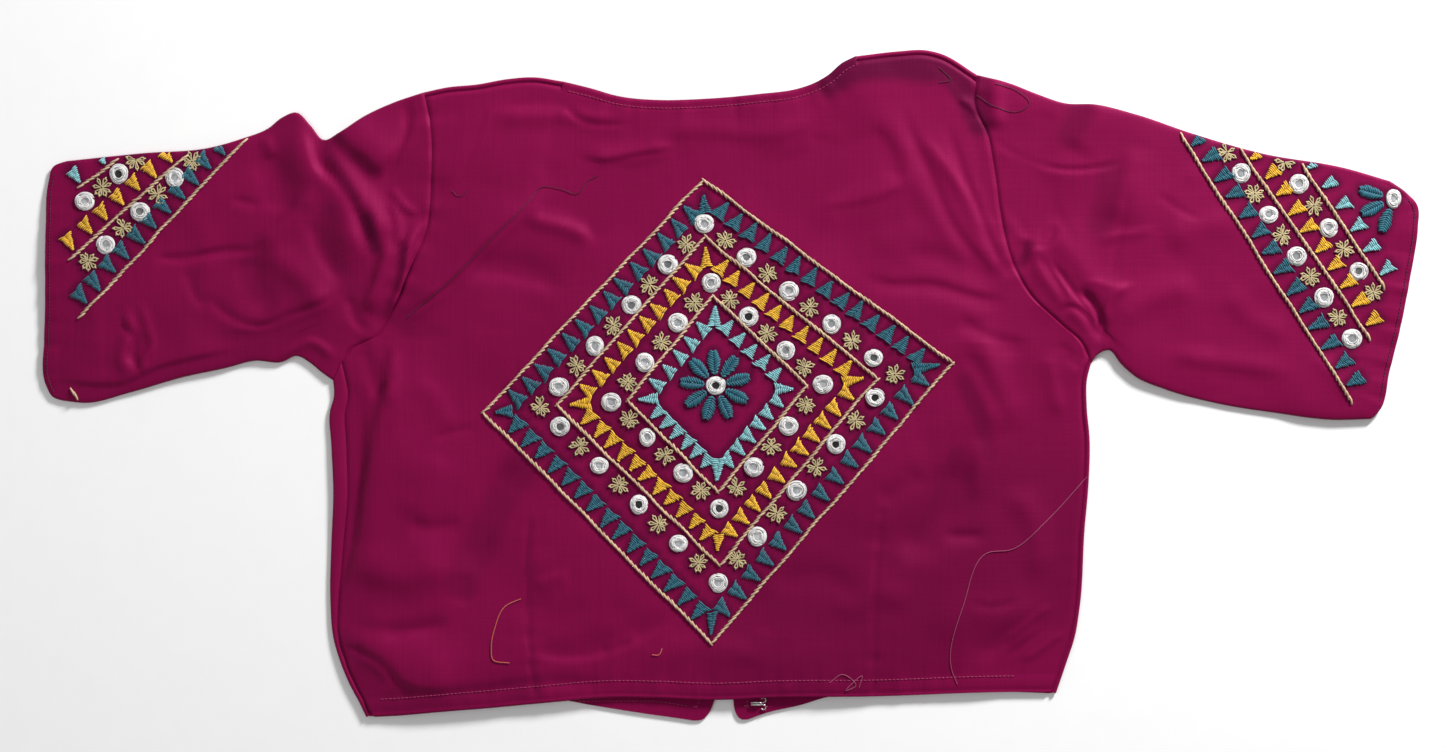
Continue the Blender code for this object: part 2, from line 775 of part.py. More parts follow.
def front_panel(name, side):
    """A front, flat on the ground, with its folded side and shoulder."""
    left = side == "left"
    _, hole_table, _, hem_table, edge_table, neck_table = TABLES[side]
    outline, side_out, inset = side_edge(side)
    shoulder, shoulder_out = shoulder_edge(side)
    side_line = outline - side_out * FOLD_REACH
    shoulder_line = shoulder - shoulder_out * FOLD_REACH
    hole = smooth(hole_table)
    hole_line = between(hole, LOWER_ROWS, FOLD_REACH)
    side_line[-1], shoulder_line[0] = hole_line[0], hole_line[-1]
    opening = smooth(edge_table)
    opening = at_lengths(opening, banded(lengths(opening)[-1], SIDE_ROWS, HEM_DEPTH))
    inner_side = joined(opening, even(smooth(neck_table), LOWER_ROWS))
    hem = smooth(hem_table)
    total = lengths(hem)[-1]
    hem = at_lengths(hem, total - banded(total, SHOULDER_COLUMNS, FRONT_EDGE_DEPTH)[::-1])
    hem[0], hem[-1] = side_line[0], inner_side[0]
    inner_side[-1] = shoulder_line[-1]
    outer_side = joined(side_line, hole_line)
    if left:
        grid = patch(hem, shoulder_line, outer_side, inner_side)
    else:
        grid = patch(hem[::-1], shoulder_line[::-1], inner_side, outer_side)
    turned_edge = np.zeros(grid.shape[:2], bool)
    turned_edge[:2] = True
    turned_edge[:, -2:] |= left
    turned_edge[:, :2] |= not left
    wall = Wall()
    numbers = wall.points(
        with_height(grid, 0.0), with_height(grid, np.where(turned_edge, FRONT_EDGE_WALL, CLOTH))
    )
    wall.quads(numbers, turned=True)

    side_seam = outline - side_out * (inset - SEAM_GAP)[:, None]
    side_seam[-1] = at_lengths(hole, [UNDERARM_SEAM[side] - SEAM_GAP])[0]
    shoulder_seam = shoulder - shoulder_out * (FOLD_REACH + SEAM_STRIP)
    side_numbers = numbers[: SIDE_ROWS + 1, 0 if left else -1]
    shoulder_numbers = numbers[-1] if left else numbers[-1, ::-1]
    for line, out, seam, low in (
        (side_line, side_out, side_seam, side_numbers),
        (shoulder_line, shoulder_out, shoulder_seam, shoulder_numbers),
    ):
        under = np.array([wall.inner[i][2] for i in low])
        heights = [kept_up(EDGE_LIFT + relief(row) * STRIP_RELIEF) for row in (line, seam)]
        tops = [
            wall.points(with_height(row, height + CLOTH), with_height(row, height))
            for row, height in zip((line, seam), heights)
        ]
        turned_row = folded_edge(wall, line, out, heights[0] + CLOTH, heights[0], under, low, tops[0])
        wall.quads(np.vstack([turned_row, tops[1][None]]), turned=left)
    make(name, wall)


def sleeve(name, side):
    """A flattened tube from the armhole to the cuff, with its lower layer on the ground."""
    left = side == "left"
    top_table, under_table, cuff_table = SLEEVE_TABLES[side]
    straight = smooth(TABLES[side][1])
    hole = straight + normals(straight) * OUTWARD[side] * SEAM_GAP
    edges = []
    for table, turn in ((top_table, -OUTWARD[side]), (under_table, OUTWARD[side])):
        line = smooth(table)
        total = lengths(line)[-1]
        line = at_lengths(line, total - banded(total, SLEEVE_STATIONS, CUFF_DEPTH)[::-1])
        edges.append((line, normals(line) * turn))
    (top, top_out), (under, under_out) = edges
    top_out[0] = (straight[-1] - straight[-2]) / np.linalg.norm(straight[-1] - straight[-2])
    under_out[0] = (straight[0] - straight[1]) / np.linalg.norm(straight[0] - straight[1])
    top_line = top - top_out * FOLD_REACH
    under_line = under - under_out * FOLD_REACH
    cuff = smooth(cuff_table[::-1])

    def layer(rows):
        """A grid whose rows run from the underarm edge to the top edge, and columns to the right."""
        ends = [between(line, rows, FOLD_REACH) for line in (hole, cuff)]
        low, high = under_line.copy(), top_line.copy()
        low[0], high[0] = ends[0][0], ends[0][-1]
        low[-1], high[-1] = ends[1][0], ends[1][-1]
        if left:
            return patch(low[::-1], high[::-1], ends[1], ends[0])
        return patch(low, high, ends[0], ends[1])

    above, below = layer(ARMHOLE_ROWS), layer(LOWER_ROWS)
    rows, columns = above.shape[:2]
    v = np.linspace(0, 1, rows)[:, None] * np.ones((1, columns))
    at_hole = np.abs(np.arange(columns) - (columns - 1 if left else 0)) / (columns - 1)
    swell = np.sqrt(np.sin(math.pi * v)) * ease(at_hole / SLEEVE_RISE)[None, :]
    inner = kept_up(EDGE_LIFT + (SLEEVE_LIFT - EDGE_LIFT) * swell + relief(above))
    cuff_columns = slice(0, 2) if left else slice(-2, None)
    thick = np.full(columns, CLOTH)
    thick[cuff_columns] = CUFF_WALL
    outer = inner + thick

    wall = Wall()
    upper = wall.points(with_height(above, outer), with_height(above, inner))
    wall.quads(upper, embossed=True)
    lower = wall.points(with_height(below, 0.0), with_height(below, thick))
    wall.quads(lower, turned=True)
    for edge, outward in ((0, under_out), (-1, top_out)):
        out = outward[::-1] if left else outward
        turned_row = folded_edge(
            wall, below[edge], out, outer[edge], inner[edge], thick, lower[edge], upper[edge]
        )
        wall.quads(turned_row, turned=edge == -1)
    make(name, wall, sleeve_mirrors(side))


def wire(name, route):
    """A round wire along points."""
    curve = bpy.data.curves.new(name, "CURVE")
    curve.dimensions = "3D"
    curve.bevel_depth = WIRE / 2 * METRE
    curve.bevel_resolution = 0
    curve.use_fill_caps = True
    spline = curve.splines.new("POLY")
    spline.points.add(len(route) - 1)
    for point, place in zip(spline.points, route):
        point.co = (*(Vector(place) * METRE), 1.0)
    curve.materials.append(material(name, "metal"))
    bpy.context.scene.collection.objects.link(bpy.data.objects.new(name, curve))


def arc(centre, radius, start, end, steps):
    """Offsets along an arc, in its own plane."""
    turns = np.radians(np.linspace(start, end, steps + 1))
    return np.stack([centre[0] + radius * np.cos(turns), centre[1] + radius * np.sin(turns)], axis=1)


def hook(name, y):
    """One hook of a single wire: a loop, a shank, the bill out and back, a shank and a loop."""
    bed = FRONT_EDGE_WALL + SEAM_GAP + WIRE / 2
    over = bed + 2 * HOOK_BEND
    back = HOOK_TIP_X + HOOK_LENGTH
    half = HOOK_WIRES_APART / 2
    loop = arc((back, half + HOOK_LOOP), HOOK_LOOP, 150, -90, 6)
    bend = arc((HOOK_TIP_X + WIRE / 2 + HOOK_BEND, bed + HOOK_BEND), HOOK_BEND, 270, 90, 4)
    tip = arc((HOOK_TIP_X + HOOK_BILL, 0.0), half, 90, 0, 2)
    one_side = [(x, y + out, bed) for x, out in loop]
    one_side += [(x, y + half, z) for x, z in bend]
    one_side += [(x, y + out, over) for x, out in tip]
    other = [(x, 2 * y - py, z) for x, py, z in reversed(one_side[:-1])]
    wire(name, one_side + other)


def bounds(thing):
    """Lowest and highest corner of an object whose own origin is still the scene's."""
    shape = thing.evaluated_get(bpy.context.evaluated_depsgraph_get()).to_mesh()
    points = np.array([v.co for v in shape.vertices])
    return points.min(axis=0), points.max(axis=0)


def stand_at_origin():
    """Puts the middle of the whole underside at the origin, and each object's own origin at its middle."""
    things = list(bpy.context.scene.collection.objects)
    corners = [bounds(thing) for thing in things]
    low = np.min([c[0] for c in corners], axis=0)
    high = np.max([c[1] for c in corners], axis=0)
    base = np.array([(low[0] + high[0]) / 2, (low[1] + high[1]) / 2, low[2]])
    for thing, (least, most) in zip(things, corners):
        middle = (least + most) / 2
        thing.data.transform(Matrix.Translation(-Vector(middle)))
        thing.location = middle - base


def main():
    remove_everything()
    back_panel()
    for side in ("left", "right"):
        front_panel(f"front_{side}", side)
        sleeve(f"sleeve_{side}", side)
    for number, y in enumerate(HOOK_ROWS_Y, 1):
        hook(f"hook_{number}", y)
    stand_at_origin()


main()
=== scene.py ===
import math

import bpy
import numpy as np
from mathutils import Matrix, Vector
from mathutils.bvhtree import BVHTree
from mathutils.kdtree import KDTree


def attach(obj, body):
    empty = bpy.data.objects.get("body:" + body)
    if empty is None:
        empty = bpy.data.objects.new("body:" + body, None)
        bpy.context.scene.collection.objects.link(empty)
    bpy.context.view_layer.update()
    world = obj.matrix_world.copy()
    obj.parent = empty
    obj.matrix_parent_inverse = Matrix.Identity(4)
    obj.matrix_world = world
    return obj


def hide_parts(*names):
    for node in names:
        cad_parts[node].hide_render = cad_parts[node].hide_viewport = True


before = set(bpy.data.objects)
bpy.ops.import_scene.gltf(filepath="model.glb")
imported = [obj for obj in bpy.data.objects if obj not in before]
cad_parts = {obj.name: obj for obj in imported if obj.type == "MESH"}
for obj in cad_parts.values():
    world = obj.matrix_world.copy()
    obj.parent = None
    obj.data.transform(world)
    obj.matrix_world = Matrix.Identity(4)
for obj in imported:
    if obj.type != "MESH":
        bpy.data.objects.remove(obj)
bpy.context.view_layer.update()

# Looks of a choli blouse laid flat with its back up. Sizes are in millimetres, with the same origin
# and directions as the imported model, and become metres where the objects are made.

METRE = 0.001
MOVED = np.array([0.224, -0.048])  # from the outline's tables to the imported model

# The photo's frame, in the plane of the cloth.
CAMERA_OVER = (-4.96, 5.75)
CAMERA_HEIGHT = 1803.0
FIELD_WIDTH = 881.4
SENSOR = 36.0

# Cloth.
SHELL = 0.7  # thickness of one layer as it is drawn
CLOTH = 1.0  # the layer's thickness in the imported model, which places its outer face
BACK_STEP = 1.75  # size of a face
SLEEVE_STEP = 1.8
CROWD = (0.0, 0.6, 1.3, 2.2, 3.4)  # distances from a seam or a turned edge of the first rows
FOLD_REACH = 1.6
SEAM_STRIP = 1.75
FOLD_FACES = 7
SEAM_DIP = 1.0
SEAM_DIP_WIDTH = 1.1
UNFOLD_ROUNDS = 80
UNFOLD_NEAR = 3  # cells round a turned one that are evened out with it
LEAST_CELL = 0.02  # twice a cell's least area
CORNER_CLEAR = 1.0  # how much further inside its corners the back's hem begins
NECK_CORNER = 0.1  # share that is kept of the neck's first and last steps
TURNED_HEM = 0.6  # how much thicker the back is where its hem is turned under
TURNED_EDGE = 0.55  # likewise for the fronts
HEM_STEP = 0.3  # how far the turned hem lifts the outer face
SEAM_START = {"left": 13.0, "right": 3.4}  # how far along the armhole the side seam meets it
FOLD_SCALE = 1.15  # of the heights in the tables of folds, for the body's upper layer
SLEEVE_FOLD_SCALE = {"left": 1.45, "right": 1.15}
UNDULATION = (
    # height, size across, seed
    (1.30, 62.0, 1),
    (0.60, 27.0, 2),
    (0.16, 11.0, 3),
)

# Heights of the upper layer's inner face above the ground.
EDGE_LIFT = 1.6
HEM_LIFT = 2.9
HOOK_LIFT = 4.1
NECK_LIFT = 1.9
SLEEVE_LIFT = 3.0
LEAST_LIFT = 1.35
LIFT_SOFTNESS = 0.4
SIDE_RISE = 0.14
HEM_RISE = 31.0
NECK_FALL = (18.0, 128.0)
SLEEVE_RISE = 0.25

# Lines of machine stitches, each this far inside its edge.
HEM_STITCH = 10.8
NECK_STITCH = 5.0
CUFF_STITCH = 2.8
OPENING_STITCH = 8.5
OPENING_SHOWN = -186.0  # the fronts' stitches show below these heights of y
FRONT_HEM_SHOWN = -192.5
ROLL = 2.6  # the hem's edge rolls this far in

# The outline seen from above. Each row is a point: x, y.
BACK_HEM = (
    (-222.7, -202.4), (-205.0, -201.6), (-180.0, -199.4), (-146.0, -196.7), (-103.0, -192.8),
    (-80.0, -190.9), (-45.0, -191.0), (-11.0, -192.2), (30.0, -190.7), (91.0, -190.3), (153.0, -188.2),
    (198.4, -188.0),
)
LEFT_SIDE = (
    (-222.7, -202.4), (-227.4, -192.6), (-232.4, -183.3), (-238.5, -168.7), (-242.8, -154.0),
    (-244.6, -132.0), (-244.0, -95.5), (-242.8, -66.2), (-244.0, -36.9), (-244.9, -16.0), (-242.4, -6.0),
    (-242.8, 3.0),
)
RIGHT_SIDE = (
    (198.4, -188.0), (205.0, -168.7), (209.8, -154.0), (212.9, -135.7), (215.9, -88.1), (218.4, -58.9),
    (219.0, -33.2), (217.2, -11.9), (217.4, 4.0), (219.6, 13.0),
)
LEFT_ARMHOLE = (
    (-242.8, 3.0), (-237.9, 13.7), (-232.0, 22.0), (-225.7, 25.5), (-216.9, 29.5), (-211.5, 37.2),
    (-205.0, 48.5), (-195.8, 71.0), (-185.4, 97.3), (-183.0, 122.9), (-183.6, 160.7), (-187.3, 179.0),
)
RIGHT_ARMHOLE = (
    (219.6, 13.0), (214.7, 25.0), (201.3, 37.5), (182.4, 55.8), (171.4, 76.6), (164.7, 104.6),
    (161.0, 130.8), (156.8, 152.8), (148.8, 171.7), (150.1, 189.7),
)
LEFT_SHOULDER = (
    (-187.3, 179.0), (-173.2, 182.0), (-154.3, 183.9), (-137.3, 187.0), (-120.2, 188.2), (-103.1, 185.7),
)
BACK_NECK = (
    (-103.1, 185.7), (-86.0, 181.5), (-68.9, 176.6), (-43.3, 174.2), (-18.9, 174.8), (16.5, 177.8),
    (42.1, 181.5), (50.6, 184.5), (59.2, 189.4), (67.7, 196.7), (76.3, 201.0),
)
RIGHT_SHOULDER = ((76.3, 201.0), (101.9, 204.0), (119.0, 204.7), (127.5, 202.8), (150.1, 189.7))
LEFT_SLEEVE_TOP = (
    (-187.3, 179.0), (-205.6, 172.9), (-222.7, 165.0), (-239.7, 154.0), (-248.3, 149.8), (-256.8, 158.9),
    (-265.4, 166.8), (-273.9, 163.8), (-282.4, 157.1), (-299.5, 150.4), (-316.6, 145.5), (-359.3, 141.8),
    (-406.0, 137.0),
)
LEFT_CUFF = (
    (-406.0, 137.0), (-413.8, 133.5), (-416.6, 124.1), (-417.9, 98.0), (-418.5, 43.6), (-419.1, 27.8),
    (-417.9, -0.3), (-414.0, -7.0), (-408.0, -9.3),
)
LEFT_SLEEVE_UNDER = (
    (-242.8, 3.0), (-250.7, 8.6), (-256.8, 13.7), (-265.4, 18.0), (-273.9, 14.3), (-291.0, 15.0),
    (-308.0, 10.7), (-333.7, 5.2), (-367.8, -4.6), (-393.5, -10.7), (-408.0, -9.3),
)
RIGHT_SLEEVE_TOP = (
    (150.1, 189.7), (170.2, 184.5), (187.3, 177.8), (204.4, 172.3), (221.4, 171.7), (247.0, 165.6),
    (281.2, 154.0), (323.9, 141.8), (375.2, 132.7), (402.6, 124.7),
)
RIGHT_CUFF = (
    (402.6, 124.7), (413.0, 116.8), (418.6, 110.0), (418.8, 96.0), (414.2, 65.6), (406.9, 29.0),
    (401.4, 7.0), (396.5, -14.0), (391.0, -20.5),
)
RIGHT_SLEEVE_UNDER = (
    (219.6, 13.0), (224.0, 19.0), (230.0, 21.6), (238.5, 12.5), (247.0, 5.2), (264.1, -2.1),
    (298.3, -11.3), (332.5, -16.8), (366.6, -21.0), (391.0, -20.5),
)
LEFT_FRONT_HEM = (
    (-222.7, -202.4), (-205.0, -200.4), (-180.0, -197.0), (-110.0, -190.8), (-86.0, -195.0), (-51.9, -200.4),
    (-34.8, -202.8), (-23.0, -204.6),
)
RIGHT_FRONT_HEM = (
    (198.4, -188.0), (153.0, -186.6), (91.0, -188.2), (58.0, -190.4), (42.1, -195.2), (22.4, -199.6),
    (10.0, -204.0),
)
LEFT_FRONT_EDGE = (
    (-23.0, -204.6), (-17.5, -204.0), (-14.2, -201.0), (-10.7, -193.9), (-7.6, -183.0), (-6.4, -80.0),
    (-6.0, 38.0),
)
RIGHT_FRONT_EDGE = (
    (10.0, -204.0), (5.6, -203.6), (3.2, -200.6), (1.4, -191.8), (1.8, -183.0), (2.6, -80.0), (3.0, 38.0),
)
LEFT_FRONT_NECK = (
    (-6.0, 38.0), (-36.0, 42.0), (-66.0, 66.0), (-86.0, 110.0), (-97.0, 152.0), (-103.1, 185.7),
)
RIGHT_FRONT_NECK = ((3.0, 38.0), (26.0, 42.0), (48.0, 68.0), (62.0, 112.0), (70.0, 156.0), (76.3, 201.0))
# Where the left side seam runs on the upper side: y, and how far inside the outline.
LEFT_SEAM = ((-201.0, 3.3), (-150.0, 3.3), (-116.0, 6.4), (-71.0, 8.6), (-20.0, 9.4), (3.0, 8.0))
OUTWARD = {"left": 1, "right": -1}

# Folds of the upper layer. Each row: route, height, half width to the left of the route, and to its
# right. A negative height is a trough.
BODY_FOLDS = (
    (((-207, 30), (-207, 2), (-213, -24), (-222, -62), (-230, -108), (-235, -142)), 3.2, 22.0, 6.0),
    (((-206, 24), (-209, -14)), 1.2, 5.0, 4.0),
    (((-236, 8), (-230, -60), (-236, -120)), -2.2, 7.0, 6.0),
    (((-204, 36), (-176, 62), (-138, 98), (-108, 122)), 2.6, 11.0, 6.0),
    (((-240, -150), (-220, -164), (-200, -178), (-160, -185)), 2.2, 24.0, 5.0),
    (((-236, -104), (-200, -116), (-168, -104)), 2.0, 14.0, 10.0),
    (((-92, 136), (-60, 139), (-32, 145)), 2.2, 8.0, 5.0),
    (((-128, 104), (-108, 100), (-82, 90)), 2.0, 10.0, 6.0),
    (((-152, 164), (-100, 164), (-60, 160)), 1.4, 6.0, 6.0),
    (((112, 158), (140, 120), (156, 84), (180, 52)), 1.0, 13.0, 8.0),
    (((90, 176), (104, 140), (132, 96), (150, 60)), 0.9, 12.0, 8.0),
    (((44, 104), (86, 112), (116, 126)), 1.8, 13.0, 9.0),
    (((150, 40), (158, 4), (172, -30)), 2.6, 10.0, 14.0),
    (((146, -44), (130, -78), (104, -110)), -1.9, 10.0, 10.0),
    (((126, -92), (160, -90)), -0.5, 4.0, 6.0),
    (((120, -150), (160, -140), (190, -150)), 0.9, 12.0, 12.0),
    (((-143, 174), (-154, 154), (-171, 124), (-176, 112)), 1.0, 4.0, 9.0),
    (((-127, 108), (-110, 105), (-92, 100), (-76, 88)), -1.5, 9.0, 5.0),
    (((-163, 64), (-145, 71), (-126, 68), (-98, 59)), -1.5, 10.0, 6.0),
    (((-95, 139), (-80, 136), (-56, 140), (-31, 144)), -1.3, 1.8, 4.0),
    (((-143, 166), (-132, 171), (-101, 171), (-95, 164), (-56, 159)), -0.9, 2.4, 2.4),
    (((-226, 22), (-218, 0), (-215, -11)), -1.5, 3.0, 2.2),
    (((-209, 25), (-212, 8), (-214, -8)), -1.3, 2.4, 3.0),
    (((-221, -31), (-227, -63), (-229, -80), (-234, -97), (-237, -116), (-238, -127)), -1.5, 3.6, 2.0),
    (((-237, -158), (-226, -163), (-213, -171), (-204, -181), (-200, -187)), -1.5, 3.6, 1.8),
    (((-198, -82), (-185, -87), (-162, -83)), -0.9, 4.0, 7.0),
    (((-215, -154), (-200, -150), (-180, -147), (-170, -143)), -0.9, 6.0, 4.0),
    (((-182, -33), (-175, -30), (-155, -25)), -0.5, 2.0, 3.0),
    (((-121, -122), (-110, -118), (-99, -114)), 0.7, 3.0, 6.0),
    (((-77, -163), (-68, -157), (-56, -153)), 0.7, 5.0, 3.0),
    (((-162, -114), (-165, -135)), -0.6, 5.0, 7.0),
    (((102, 176), (110, 154), (122, 128), (134, 100), (150, 78), (168, 60)), -0.8, 3.0, 5.0),
    (((130, 164), (139, 138), (150, 108), (162, 80), (172, 62)), -0.8, 2.6, 3.6),
    (((146, 160), (154, 132), (163, 98)), -0.6, 2.2, 3.0),
    (((103, 79), (125, 79), (146, 71), (164, 60)), -0.8, 6.0, 8.0),
    (((122, 202), (136, 190), (147, 174)), -1.5, 4.0, 3.6),
    (((199, 26), (207, 17), (214, 10)), -0.9, 3.0, 2.4),
    (((192, 23), (198, -4), (201, -21)), 1.0, 3.6, 6.0),
    (((115, 155), (149, 105), (156, 86)), 0.7, 3.0, 4.0),
    (((50, 105), (79, 109), (102, 117), (112, 125)), -0.9, 3.0, 7.0),
    (((140, 28), (155, 3), (170, -27)), -1.1, 6.0, 5.0),
    (((129, -46), (118, -76), (104, -106)), -0.9, 4.0, 6.0),
    (((131, -91), (155, -92)), -0.7, 2.4, 4.0),
    (((138, 176), (146, 170), (152, 164)), 0.9, 4.0, 2.0),
    (((-60, 152), (-20, 156), (30, 154), (60, 166)), 0.8, 7.0, 5.0),
    (((20, 130), (60, 136), (96, 150)), -0.9, 9.0, 6.0),
    (((170, -60), (184, -84), (186, -120)), 1.2, 9.0, 7.0),
    (((60, -140), (90, -128), (112, -132)), 0.9, 9.0, 8.0),
    (((-60, -168), (-20, -160), (20, -166)), 0.7, 8.0, 8.0),
    (((150, -170), (172, -150), (200, -140)), -1.0, 7.0, 5.0),
    (((-196, 6), (-180, -8), (-170, -30)), 0.8, 6.0, 9.0),
    (((-208, 38), (-186, 50), (-168, 64), (-148, 86), (-130, 103), (-114, 119)), -0.9, 1.8, 1.8),
    (((-147, 178), (-155, 150), (-172, 118), (-184, 104)), -0.6, 2.0, 7.0),
    (((-104, 172), (-108, 150), (-118, 124)), -0.7, 8.0, 6.0),
    (((-128, -40), (-146, -72), (-162, -120)), -1.7, 12.0, 10.0),
    (((-176, -40), (-184, -66), (-196, -84)), 1.0, 9.0, 12.0),
    (((-120, -96), (-112, -120), (-96, -140)), 0.9, 12.0, 10.0),
    (((-34, -138), (-62, -156), (-98, -165), (-130, -160)), -1.3, 3.0, 9.0),
    (((-238, -146), (-204, -150), (-168, -146)), -1.0, 5.0, 7.0),
    (((-196, -184), (-160, -187), (-120, -181), (-60, -184)), -0.8, 4.0, 5.0),
    (((46, 152), (62, 146), (82, 139)), -0.8, 3.0, 6.0),
    (((82, 158), (94, 148), (101, 134), (102, 120)), -0.9, 5.0, 7.0),
    (((76, 68), (94, 62), (124, 61), (148, 54), (172, 50)), -1.0, 3.0, 6.0),
    (((136, 44), (152, 32), (184, 22)), -1.0, 4.0, 7.0),
    (((166, -168), (184, -154), (206, -136)), -0.9, 2.0, 2.2),
    (((176, -170), (190, -160), (206, -148)), 0.8, 2.0, 2.4),
    (((164, -158), (180, -146), (198, -132)), 0.7, 2.2, 2.0),
    (((144, -131), (160, -135), (176, -130)), -0.5, 2.2, 3.6),
    (((150, -30), (150, -56), (148, -72)), 0.8, 6.0, 5.0),
    (((88, -72), (108, -60), (118, -52)), -0.8, 8.0, 6.0),
    (((20, -120), (60, -118), (84, -134)), -1.0, 9.0, 10.0),
    (((10, -172), (16, -160), (20, -146)), 0.5, 6.0, 6.0),
)
LEFT_SLEEVE_FOLDS = (
    (((-243, 165), (-233, 150), (-220, 140), (-208, 126)), 3.2, 18.0, 6.5),
    (((-253, 152), (-245, 141), (-236, 128), (-227, 115), (-217, 100), (-212, 78)), 3.3, 9.0, 5.0),
    (((-266, 163), (-260, 146), (-255, 131), (-243, 120), (-234, 106), (-230, 88), (-220, 70)),
     2.9, 5.0, 12.0),
    (((-292, 84), (-272, 98), (-259, 114), (-252, 122)), 1.8, 5.0, 9.0),
    (((-208, 92), (-211, 76), (-217, 58), (-224, 42)), 2.4, 5.0, 4.0),
    (((-188, 102), (-196, 86), (-198, 70), (-203, 54), (-212, 41)), 2.2, 2.6, 3.4),
    (((-208, 122), (-200, 110), (-190, 103)), 1.0, 2.2, 2.0),
    (((-208, 114), (-203, 100), (-203, 84)), 1.1, 2.2, 2.0),
    (((-198, 176), (-197, 158), (-202, 144), (-212, 124)), -1.2, 2.0, 3.0),
    (((-316, 34), (-280, 40), (-238, 58)), 1.4, 9.0, 5.0),
    (((-374, 48), (-366, 34), (-371, 16), (-364, 4)), 1.6, 4.0, 5.0),
    (((-290, 84), (-262, 66), (-244, 40)), 1.5, 9.0, 8.0),
    (((-257, 103), (-250, 81), (-234, 60)), -1.0, 6.0, 4.0),
    (((-325, 60), (-306, 42), (-290, 36), (-268, 43), (-249, 50), (-235, 58)), -1.0, 3.0, 2.2),
    (((-354, 78), (-334, 77), (-312, 81), (-286, 82)), -1.5, 2.6, 2.0),
    (((-296, 80), (-290, 58), (-276, 45)), -1.3, 9.0, 9.0),
    (((-333, 73), (-328, 56), (-319, 45)), -0.8, 3.6, 2.0),
    (((-373, 50), (-370, 36), (-364, 28), (-365, 19), (-359, 6)), -1.1, 2.2, 2.2),
    (((-361, 53), (-356, 36), (-353, 23), (-359, 14), (-354, 5)), 1.0, 2.4, 2.2),
    (((-414, 16), (-406, 28), (-396, 39)), -0.5, 2.0, 3.0),
    (((-416, 5), (-398, 3), (-382, 2), (-370, 3), (-354, 11), (-328, 18), (-297, 24)), 1.1, 8.0, 1.8),
    (((-277, 15), (-266, 23), (-257, 27), (-247, 22), (-241, 14)), 1.0, 2.0, 3.6),
    (((-233, 56), (-230, 41), (-221, 31)), -1.3, 3.0, 2.2),
    (((-305, 114), (-286, 109)), -0.8, 2.4, 2.6),
    (((-290, 142), (-278, 124), (-280, 104)), -1.4, 9.0, 8.0),
    (((-286, 152), (-282, 146), (-279, 138)), 0.9, 3.0, 3.0),
    (((-340, 120), (-322, 92), (-320, 60)), 0.6, 10.0, 8.0),
    (((-396, 60), (-388, 40), (-392, 18)), 0.6, 6.0, 5.0),
)
RIGHT_SLEEVE_FOLDS = (
    (((156, 154), (168, 140), (196, 131), (240, 136)), 0.5, 8.0, 7.0),
    (((163, 192), (162, 174), (163, 154)), 1.7, 4.0, 6.0),
    (((164, 120), (176, 92), (188, 84), (204, 90)), 0.6, 5.0, 5.0),
    (((178, 98), (192, 66), (212, 44), (222, 28)), 1.4, 6.0, 5.0),
    (((196, 110), (210, 78), (224, 60), (252, 60)), 0.8, 7.0, 7.0),
    (((232, 34), (250, 50), (286, 62)), 1.2, 10.0, 8.0),
    (((262, 90), (290, 98), (316, 96)), 0.8, 9.0, 9.0),
    (((246, 148), (242, 126), (232, 98)), 1.1, 14.0, 6.0),
    (((226, 178), (221, 164), (208, 142)), 1.3, 12.0, 7.0),
    (((258, 118), (272, 108), (288, 100)), -0.4, 2.4, 2.0),
    (((176, 144), (186, 122), (204, 96), (212, 76)), -0.6, 4.0, 6.0),
    (((155, 156), (167, 145), (183, 137), (201, 132), (218, 132), (236, 136), (244, 140)), -0.9, 1.5, 1.5),
    (((163, 117), (171, 107), (181, 92), (186, 84)), -0.9, 2.0, 2.0),
    (((183, 84), (191, 86), (199, 98)), -0.8, 1.6, 1.6),
    (((172, 72), (177, 80), (181, 90)), -1.8, 2.2, 2.6),
    (((186, 82), (196, 66), (204, 52), (206, 46)), -1.0, 2.0, 2.2),
    (((194, 78), (204, 64), (214, 50), (226, 35)), -0.9, 2.0, 2.0),
    (((211, 60), (220, 50), (225, 40), (226, 26)), -2.4, 3.0, 2.4),
    (((212, 62), (221, 63), (233, 60), (250, 62)), 0.4, 2.0, 2.0),
    (((226, 36), (228, 46), (234, 56), (243, 61)), 1.2, 2.4, 2.4),
    (((200, 43), (207, 48), (214, 44), (222, 33), (226, 26)), -1.3, 2.2, 2.0),
    (((242, 122), (239, 99), (235, 84), (230, 64)), -0.5, 1.8, 2.2),
    (((221, 88), (236, 92), (251, 94), (259, 98)), 0.6, 2.0, 3.6),
    (((148, 164), (152, 157), (160, 154)), -1.6, 2.2, 2.2),
    (((194, 168), (192, 160), (187, 144)), -0.6, 3.6, 6.0),
    (((284, 140), (276, 112), (268, 78)), 0.8, 9.0, 8.0),
    (((300, 60), (318, 40), (344, 30)), 0.9, 9.0, 7.0),
    (((262, 20), (300, 14), (344, 8)), 0.9, 7.0, 5.0),
    (((352, 20), (368, 6), (380, -10)), 0.7, 6.0, 5.0),
)
